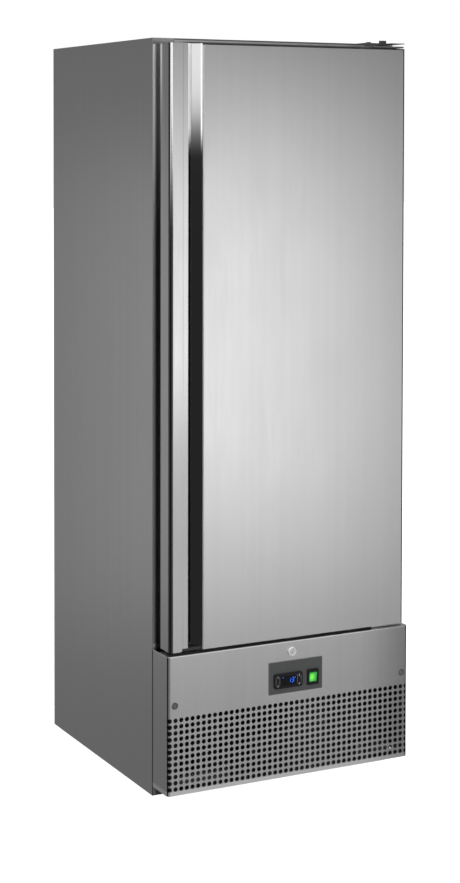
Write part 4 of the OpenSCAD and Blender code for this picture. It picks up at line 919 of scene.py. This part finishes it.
def makeDisplay():
    unit = makeSegment()
    bar, tall, thick = display["bar"], display["tall"], display["thick"]
    half = (tall - bar) / 2
    left = display["step"]
    right = left + display["wide"] - bar

    def segment(x, z, length, upright):
        turn = Matrix.Rotation(math.pi / 2 if upright else 0.0, 4, "Y")
        size = Matrix.Diagonal((length, 1, 1, 1))
        return copied(unit, Matrix.Translation((x, 0, z)) @ turn @ size)

    parts = [segment(x, bar / 2 + half * (0.5 + i), half * display["upright"], True)
             for x in (0, right) for i in (0, 1)]
    parts += [segment((left + right) / 2, bar / 2 + half * i, (right - left) * display["level"], False)
              for i in (0, 1, 2)]
    bpy.data.objects.remove(unit)
    figures = joined("displayFigures", parts)
    lean = Matrix.Identity(4)
    lean[0][2] = display["lean"]
    front = windowBox[0][1]
    middle = middleOf(windowBox)
    corner = (middle[0] + display["left"], front, middle[2] + display["foot"])
    figures.data.transform(Matrix.Translation(corner) @ lean)
    roundOff(figures, 0.00004, 1)

    aside, above = display["degree"]
    degree = newDisc("degreeSign", (corner[0] + right + aside, front - thick / 2, corner[2] + tall + above),
                     display["degreeRadius"], thick, 20)
    openSign(degree, display["degreeLine"])
    mounted(joined("displayFigures", [figures, degree]), "cabinet", "litBlue")

    aside, above = display["light"]
    light = newDisc("statusLight", (middle[0] + aside, front - display["lightThick"] / 2, middle[2] + above),
                    display["lightRadius"], display["lightThick"], 24)
    roundOff(light, 0.00015)
    mounted(light, "cabinet", "litBlue")


makeDisplay()

# Marks on the keys, each a shape on its cap, and the thin line round each pair of keys
keyMark = {
    "size": 0.0028,
    "triangle": 0.75,  # share of that size
    "open": 0.62,
    "openLine": 0.0006,
    "thick": 0.00012,
    "shift": 0.0026,
    "line": 0.00030,
    "margin": 0.0006,
    "corner": 0.0050,
}
keySigns = {  # number of sides, turn, and 1 above or -1 below the middle of the cap
    "key_up": (3, 0.0, 1), "key_down": (3, math.pi, -1), "key_set": (4, 0.0, 1), "key_light": (6, 0.0, -1),
}


def makeKeyMarks():
    thick = keyMark["thick"]
    for name, (sides, turn, up) in keySigns.items():
        middle = middleOf(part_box(name))
        spot = (middle[0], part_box(name)[0][1] - thick / 2, middle[2] + up * keyMark["shift"])
        share = keyMark["triangle" if sides == 3 else "open"]
        mark = newDisc(name + "Mark", spot, keyMark["size"] * share, thick, sides, turn)
        if sides > 3:
            openSign(mark, keyMark["openLine"])
        roundOff(mark, 0.00003, 1)
        mounted(mark, name, "printWhite")
    margin, front = keyMark["margin"], caseBox[0][1]
    for upper, lower in (("key_set", "key_light"), ("key_up", "key_down")):
        low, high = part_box(lower)[0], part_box(upper)[1]
        line = newBlock(upper + "Line", (low[0] - margin, front - thick, low[2] - margin),
                        (high[0] + margin, front, high[2] + margin))
        bevelEdges(line, lambda a, b: abs(a.y - b.y) > thick / 2, keyMark["corner"], 8)
        openSign(line, keyMark["line"])
        bpy.ops.object.shade_smooth_by_angle(angle=math.radians(40))
        mounted(line, "cabinet", "printWhite")


makeKeyMarks()
print("stage: controls ready")


# Vent panel: the outer rim of its upper and lower fold is rounded
panelEdge = {"radius": 0.0009, "corner": 0.0085}
same = 0.00003  # places that lie nearer than this are one, in metres


def cutAcross(piece, axis, place):  # new edges where an upright or level plane meets the piece
    keepSelected(piece, lambda face: True)
    bpy.ops.mesh.bisect(plane_co=[place if axis == name else 0.0 for name in "XYZ"],
                        plane_no=[1.0 if axis == name else 0.0 for name in "XYZ"])
    bpy.ops.object.mode_set(mode="OBJECT")


def roundPanel():
    piece = mergedCopy("grille_panel", joinFlat=False)
    low, high = panelBox
    corner = panelEdge["corner"]
    reach = vents["hole"] + vents["rim"]
    right = (vents["across"] - 1) / 2 * vents["pitch"] + reach
    bottom = low[2] + vents["lowest"] - reach
    top = low[2] + vents["lowest"] + (vents["rows"] - 1) * vents["pitch"] + reach
    for axis, place in (("X", -right), ("X", right), ("Z", bottom), ("Z", top)):
        cutAcross(piece, axis, place)
    keepSelected(piece, lambda face: not (-right < face.center.x < right and bottom < face.center.z < top))
    bpy.ops.mesh.dissolve_limited(angle_limit=math.radians(0.4))
    bpy.ops.object.mode_set(mode="OBJECT")

    def onRim(point):
        if min(abs(point.z - low[2]), abs(point.z - high[2])) > same:
            return False
        side = min(abs(point.x - low[0]), abs(point.x - high[0]))
        if side < corner and point.y < low[1] + corner:
            centre = low[0] + corner if point.x < 0 else high[0] - corner
            return abs(math.hypot(point.x - centre, point.y - low[1] - corner) - corner) < 0.0001
        return abs(point.y - low[1]) < same

    bevelEdges(piece, lambda a, b: onRim(a) and onRim(b), panelEdge["radius"], 3)
    smoothed(piece)


roundPanel()
print("stage: vent panel ready")

# Top panel: its front edge is folded over with a small radius
topFold = {"radius": 0.0018, "segments": 5}


def foldTop():
    piece = mergedCopy("top_panel")
    front, top = topBox[0][1], topBox[1][2]

    def onEdge(point):
        return abs(point.y - front) < same and abs(point.z - top) < same

    bevelEdges(piece, lambda a, b: onEdge(a) and onEdge(b), topFold["radius"], topFold["segments"])
    smoothed(piece)


foldTop()
print("stage: top panel ready")

# Door liner: a raised rim with rounded corners inside the gasket, round a lower pan
linerPan = {"margin": 0.030, "rise": 0.008, "slope": 0.012, "sink": 0.6, "corner": 0.022, "rounded": 0.0018}


def shapeLiner():
    piece = mergedCopy("door_liner")
    low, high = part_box("door_liner")
    middle = (high[2] + low[2]) / 2
    rise = linerPan["rise"]

    def panFace(face):
        level = abs(face.center.z - middle) < (high[2] - low[2]) / 4
        return face.normal.y > 0.9 and abs(face.center.x) < 0.01 and level

    keepSelected(piece, panFace)
    bpy.ops.mesh.inset(thickness=linerPan["margin"])
    bpy.ops.mesh.select_mode(type="VERT")
    bpy.ops.mesh.bevel(offset=linerPan["corner"], segments=6, affect="VERTICES")
    bpy.ops.object.mode_set(mode="OBJECT")
    keepSelected(piece, panFace)
    bpy.ops.mesh.extrude_region_move(TRANSFORM_OT_translate={"value": (0, rise, 0)})
    bpy.ops.mesh.inset(thickness=linerPan["slope"])
    bpy.ops.mesh.extrude_region_move(TRANSFORM_OT_translate={"value": (0, -rise * linerPan["sink"], 0)})
    bpy.ops.object.mode_set(mode="OBJECT")
    roundOff(piece, linerPan["rounded"], 3, 30)


shapeLiner()
print("stage: door liner ready")


# Rear: cross-recess screws round the cover, and a bare rating plate with its rivets
rearParts = {
    "screwAt": ((-0.322, 0.035), (-0.11, 0.035), (0.11, 0.035), (0.322, 0.035), (-0.322, 0.205),
                (0.322, 0.205), (-0.322, 0.350), (-0.11, 0.350), (0.11, 0.350), (0.322, 0.350)),
    "headRadius": 0.0042,
    "headHeight": 0.0021,
    "recess": (0.0022, 0.00045),  # half the length and half the width of each bar of the cross
    "recessTurn": 0.3,
    "plate": (-0.255, -0.165, 0.036, 0.090),  # left, right, low and high end
    "plateThick": 0.0006,
    "plateCorner": 0.004,
    "plateRim": 0.0015,
    "rivetIn": 0.005,  # from the plate's edges
    "rivetRadius": 0.0017,
    "rivetHeight": 0.0010,
}


def makeScrews(face):
    high = rearParts["headHeight"]
    long, wide = rearParts["recess"]
    head = newDisc("rearScrews", (0, face + high / 2, 0), rearParts["headRadius"], high, 24)
    roundOff(head, high * 0.55, 3)
    for turn in (0.0, math.pi / 2):
        bar = newBlock("recess", (-long, face + high * 0.45, -wide), (long, face + high * 1.3, wide))
        bar.data.transform(Matrix.Rotation(turn + rearParts["recessTurn"], 4, "Y"))
        pickOnly(head)
        cut = head.modifiers.new("recess", "BOOLEAN")
        cut.operation = "DIFFERENCE"
        cut.object = bar
        bpy.ops.object.modifier_apply(modifier=cut.name)
        bpy.data.objects.remove(bar)
    copies = [copied(head, Matrix.Translation((x, 0, z))) for x, z in rearParts["screwAt"]]
    bpy.data.objects.remove(head)
    mounted(joined("rearScrews", copies), "cabinet", "boltSteel")


def makeRatingPlate(face):
    left, right, low, high = rearParts["plate"]
    thick, inwards = rearParts["plateThick"], rearParts["rivetIn"]
    plate = newBlock("ratingPlate", (left, face, low), (right, face + thick, high))
    bevelEdges(plate, lambda a, b: abs(a.y - b.y) > thick / 2, rearParts["plateCorner"], 5)
    keepSelected(plate, lambda side: side.normal.y > 0.9)
    bpy.ops.mesh.inset(thickness=rearParts["plateRim"])
    bpy.ops.mesh.extrude_region_move(TRANSFORM_OT_translate={"value": (0, -thick * 0.3, 0)})
    bpy.ops.object.mode_set(mode="OBJECT")
    rivets = []
    for x in (left + inwards, right - inwards):
        for z in (low + inwards, high - inwards):
            rivet = newDisc("rivet", (x, face + thick + 0.0004, z), rearParts["rivetRadius"],
                            rearParts["rivetHeight"], 16)
            roundOff(rivet, 0.0004)
            rivets.append(rivet)
    mounted(joined("ratingPlate", [plate] + rivets), "cabinet", "fins")


makeScrews(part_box("rear_cover")[1][1])
makeRatingPlate(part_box("rear_cover")[1][1])

# Seam ring, meant for the compressor's shell. At this place it stands beside the shell, whose
# middle is at about 0.160, 0.146 and whose radius is 0.075
seam = {"middle": (0.05, 0.05, 0.118), "radius": 0.05, "swell": 0.0030, "wide": 0.0060}


def makeSeam():
    bpy.ops.object.select_all(action="DESELECT")
    bpy.ops.mesh.primitive_torus_add(location=seam["middle"], major_radius=seam["radius"],
                                     minor_radius=seam["swell"], major_segments=96, minor_segments=12)
    ring = bpy.context.object
    ring.name = "compressorSeam"
    bpy.ops.object.transform_apply(location=True, rotation=True, scale=True)
    keepSelected(ring, lambda face: True)
    bpy.ops.transform.resize(value=(1, 1, seam["wide"] / seam["swell"] / 2), center_override=seam["middle"])
    bpy.ops.object.mode_set(mode="OBJECT")
    smoothed(ring)
    mounted(ring, "cabinet", "blackPaint")


makeSeam()
print("stage: rear and compressor ready")
